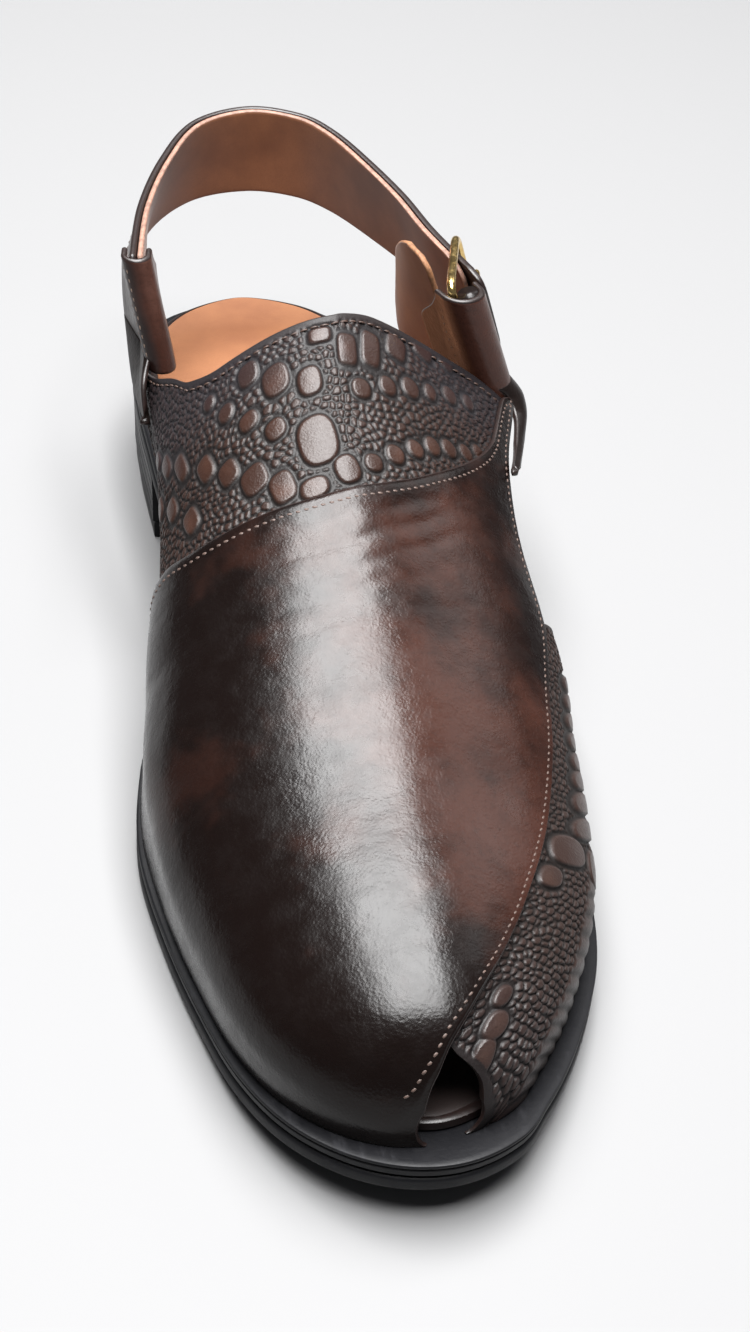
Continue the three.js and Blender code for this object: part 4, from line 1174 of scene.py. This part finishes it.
def build_tab():
    tab = fold_sheet("strap_tab_fold", tab_place, tab_half, tab_inner_leaf, tab_outer_leaf, leaf,
                     [strap_outer, dark_edge, upper_lining], inner_material=2,
                     node="strap_tab", slot="strap_tab")
    # painted shade: the outer leaf beyond the stitches, which faces away from the light, is darker than the
    # roll's front
    paint(tab, "tone_and_light", np.tile(mix(0.75, 0.12, smooth((fold_q - 0.45) / 0.15)), FOLD_ROWS))
    # the tongue takes the darker copy of the strap leather: painted shade where it faces away from the
    # light
    tongue_sheet("strap_tab_tongue", tab_place, tab_half + leaf, tab_outer_leaf, 0.62, tab_tongue,
                 leaf - 0.2, [shaded_strap_leather, dark_edge], slot="strap_tab")
    threads = Stitches()
    down = np.linspace(0.06, 0.9, 200)
    for q in (0.62, 0.685):
        row = lambda radius: tab_place(down, *fold_profile(down, radius, tab_inner_leaf, tab_outer_leaf, q))
        threads.row(row(tab_half + leaf), row(tab_half + leaf + 1) - row(tab_half + leaf), pitch=2.4)
    threads.finish("tab_stitches", pale_thread, slot="strap_tab")


chape_leather_thickness = 1.7
chape_half = 4.2
chape_ahead = 4
chape_in = 6.9
chape_top = strap_width / 2
chape_drop = strap_width + 5
chape_tilt = 2
chape_inner_leaf = (0.5 * strap_width, 2)
chape_outer_leaf = (0.375 * strap_width, 0)


def chape_place(share, rearwards, out):
    rearwards = rearwards - chape_ahead - chape_tilt * share
    return past_end(1, chape_top - chape_drop * share, rearwards, out - chape_in)


chape_lift = vamp_thickness + chape_leather_thickness + 3 * clear
chape_tongue = [
    (last_point(0.572, 0.234, chape_lift),
     [(0, 0, 0, 0), (0.25, 0.165, 0.285, -0.087), (0.5, 0.220, 0.426, -0.143),
      (0.75, 0.150, 0.317, -0.136), (1, -0.03, 0, 0)]),
    (last_point(0.580, 0.220, chape_lift),
     [(0, 0, 0, 0), (0.25, 0.255, 0.337, -0.295), (0.5, 0.338, 0.530, -0.370),
      (0.75, 0.313, 0.619, -0.350), (1, 0, 0, 0)]),
]


def build_chape():
    # the fold's inside takes the near-black lining and its edges dark paint: painted shadow inside the roll
    chape = fold_sheet("buckle_chape_fold", chape_place, chape_half, chape_inner_leaf, chape_outer_leaf,
                       chape_leather_thickness, [chape_leather, dark_edge, shadow_lining],
                       inner_material=2, node="buckle_chape", slot="buckle_chape")
    # a leather filler round the buckle's bar, in the darker copy of the strap leather: painted shade inside
    # the roll
    core = chape_place(np.linspace(0.015, 0.9, 20), -0.6, 1.3)
    tube("buckle_chape_core", core, 2.6, [shaded_strap_leather], sides=24, slot="buckle_chape")
    # painted shade: the inner leaf, which lies inside the roll, is darker than the rest of the fold
    paint(chape, "tone_and_light", np.tile(mix(0.42, 0.62, smooth((fold_q - 0.24) / 0.1)), FOLD_ROWS))
    tongue_sheet("buckle_chape_tongue", chape_place, chape_half + chape_leather_thickness, chape_outer_leaf,
                 0.5, chape_tongue, chape_leather_thickness - 0.2, [shaded_strap_leather, dark_edge, shadow_lining],
                 inner_material=2, slot="buckle_chape")
    threads = Stitches()
    down = np.linspace(0.14, 0.86, 200)
    radius = chape_half + chape_leather_thickness
    row = lambda radius: chape_place(down, *fold_profile(
        down, radius, chape_inner_leaf, chape_outer_leaf, mix(0.2, 0.26, down)))
    threads.row(row(radius), row(radius + 1) - row(radius), pitch=2.4)
    threads.finish("chape_stitches", pale_thread, slot="buckle_chape")


buckle_rear = 18
buckle_slack = 2.5
bar_out = 4.4
buckle_corner = 2.4
prong_radius = 0.9


def buckle_place(rise, rearwards, out):
    return past_end(1, rise, rearwards - chape_ahead, out)


def frame_place(rise, rearwards, out):
    """Places along the buckle's flat frame, straight from its front bar to its rear bar."""
    front = buckle_place(rise, 0, out - chape_in - buckle_slack)
    rear = buckle_place(rise, buckle_rear, out + bar_out)
    return mix(front, rear, np.asarray(rearwards, float)[..., None] / buckle_rear)


frame_slant = math.hypot(buckle_rear, bar_out + chape_in + buckle_slack) / buckle_rear


def build_buckle():
    half = strap_width / 2 + wire / 2 + 0.6
    corner = buckle_corner
    spots = []
    for rear_middle, rise_middle, start in [
        (buckle_rear - corner, half - corner, 0), (corner, half - corner, 0.5),
        (corner, corner - half, 1), (buckle_rear - corner, corner - half, 1.5),
    ]:
        for k in range(9):
            turn = math.pi * (start + 0.5 * k / 8)
            spots.append((rear_middle + corner * math.cos(turn), rise_middle + corner * math.sin(turn)))
    spots = np.array(spots)
    closed = np.concatenate([spots, spots[:1]])
    run = np.concatenate([[0], np.cumsum(np.linalg.norm(np.diff(closed, axis=0), axis=1))])
    even = np.linspace(0, run[-1], 161)[:-1]
    rear = np.interp(even, run, closed[:, 0])
    rise = np.interp(even, run, closed[:, 1])
    tube("buckle_frame_bar", frame_place(rise, rear, 0 * rear), wire / 2, [gold_metal],
         closed=True, node="buckle_frame", slot="buckle_frame")
    radius = prong_radius
    over = (wire / 2 + clear + radius) * frame_slant
    # rearwards, off the frame's own plane
    course = np.array([
        (wire / 2 + clear + radius, 0), (5.5, 0.5), (10, 0.2), (buckle_rear - 4, 0.6 * over),
        (buckle_rear - 0.5, over), (buckle_rear + 2.5, over - 0.3),
    ])
    t = np.linspace(0, 1, 60)
    line = frame_place(0 * t, spline(course[:, 0], t), spline(course[:, 1], t))
    slim = radius * np.where(t > 0.9, np.sqrt(np.maximum(0.1, 1 - ((t - 0.9) / 0.1) ** 2)), 1)
    tube("buckle_prong_pin", line, slim, [gold_metal], node="buckle_prong", slot="buckle_prong")


# rise, front and rear ends (strap_width)
guard_outline = [
    (-1.00, 0.62, 0.80), (-0.86, 0.42, 1.08), (-0.72, 0.33, 1.21), (-0.50, 0.30, 1.23), (-0.24, 0.30, 1.18),
    (0.00, 0.30, 1.13), (0.25, 0.30, 1.09), (0.46, 0.32, 0.93), (0.62, 0.34, 0.76), (0.74, 0.42, 0.62),
]
guard_gap = 0.55
guard_thickness = 1.6


def build_guard():
    rise_share = np.linspace(guard_outline[0][0], guard_outline[-1][0], 50)
    front = column(guard_outline, 0, 1)(rise_share)[:, None]
    rear = column(guard_outline, 0, 2)(rise_share)[:, None]
    rise = rise_share[:, None] * strap_width
    back = mix(front, rear, np.linspace(0, 1, 50)[None, :]) * strap_width
    stand = 0.6 * 2 * strap_course[-2][3] * rise * smooth((back - 12) / 16)
    turned = 3 * smooth((back - 16) / 26)
    inside = chape_in + chape_half + guard_gap
    face = lambda out: buckle_place(rise, back, stand + turned - inside + out)
    sheet("buckle_guard_leaf", face(guard_thickness), face(0), [guard_suede, guard_edge],
          node="buckle_guard", slot="buckle_guard")


# Stage

def build_stage():
    n = Nodes("pale_floor")
    n.done(rgb(0.18, 0.18, 0.1815), 0.6, n.bump(n.noise(40, 2), 0.02, 0.0005), Specular_IOR_Level=0.3)
    mesh = bpy.data.meshes.new("floor")
    mesh.from_pydata([(-6, -6, 0), (6, -6, 0), (6, 6, 0), (-6, 6, 0)], [], [(0, 1, 2, 3)])
    mesh.materials.append(n.material)
    floor = bpy.data.objects.new("floor", mesh)
    bpy.context.scene.collection.objects.link(floor)
    world = bpy.data.worlds.new("studio")
    world.use_nodes = True
    world.node_tree.nodes["Background"].inputs["Color"].default_value = rgb(0.93, 0.95, 1.0)
    world.node_tree.nodes["Background"].inputs["Strength"].default_value = 0.12
    bpy.context.scene.world = world

    def softbox(name, place, aim, size, power):
        light = bpy.data.lights.new(name, "AREA")
        light.shape = "RECTANGLE"
        light.size, light.size_y = size
        light.energy = power
        obj = bpy.data.objects.new(name, light)
        bpy.context.scene.collection.objects.link(obj)
        obj.location = place
        obj.rotation_euler = (Vector(aim) - Vector(place)).to_track_quat("-Z", "Y").to_euler()

    softbox("overhead", (-0.08, 0.08, 1.2), (-0.08, 0.08, 0), (1.0, 1.3), 5)
    softbox("strip", (-0.01, 0.1, 1.15), (-0.01, 0.1, 0), (0.72, 1.25), 73)
    softbox("outer_side", (1.0, 0.75, 0.95), (0, 0, 0.04), (0.5, 0.7), 2.5)
    bpy.context.scene.view_settings.view_transform = "Standard"


# Camera: the photograph's own place and lens, turned to this shoe and closer in

PHOTO_WIDTH = 750
PHOTO_HEIGHT = 1332
LENS_PIXELS = 1303
ZOOM = 1.68
camera_spot = np.array([-85.1, -247.1, 361.0])
CAMERA_PITCH = math.radians(35)
CAMERA_YAW = math.radians(6.08)
SHOE_CENTRE = (511, 792)


def build_camera():
    forward = Vector((math.cos(CAMERA_PITCH) * math.sin(CAMERA_YAW),
                      math.cos(CAMERA_PITCH) * math.cos(CAMERA_YAW), -math.sin(CAMERA_PITCH)))
    right = forward.cross(Vector((0, 0, 1))).normalized()
    up = right.cross(forward)
    across = (SHOE_CENTRE[0] - PHOTO_WIDTH / 2) / LENS_PIXELS
    down = (SHOE_CENTRE[1] - PHOTO_HEIGHT / 2) / LENS_PIXELS
    aim = (forward + right * across - up * down).normalized()
    turn = forward.rotation_difference(aim)
    axes = Matrix((turn @ right, turn @ up, -aim)).transposed().to_4x4()
    data = bpy.data.cameras.new("camera")
    data.sensor_fit = "VERTICAL"
    data.sensor_height = 36
    data.lens = LENS_PIXELS * ZOOM / PHOTO_HEIGHT * data.sensor_height
    camera = bpy.data.objects.new("camera", data)
    bpy.context.scene.collection.objects.link(camera)
    spot = (camera_spot + shift) * MM
    camera.matrix_world = Matrix.Translation(Vector(spot)) @ axes
    bpy.context.scene.camera = camera


build_sole()
build_insole()
build_lining()
build_instep_panel()
build_side_panel()
build_vamp()
build_upper_stitches()
build_strap()
build_tab()
build_chape()
build_buckle()
build_guard()
build_stage()
build_camera()
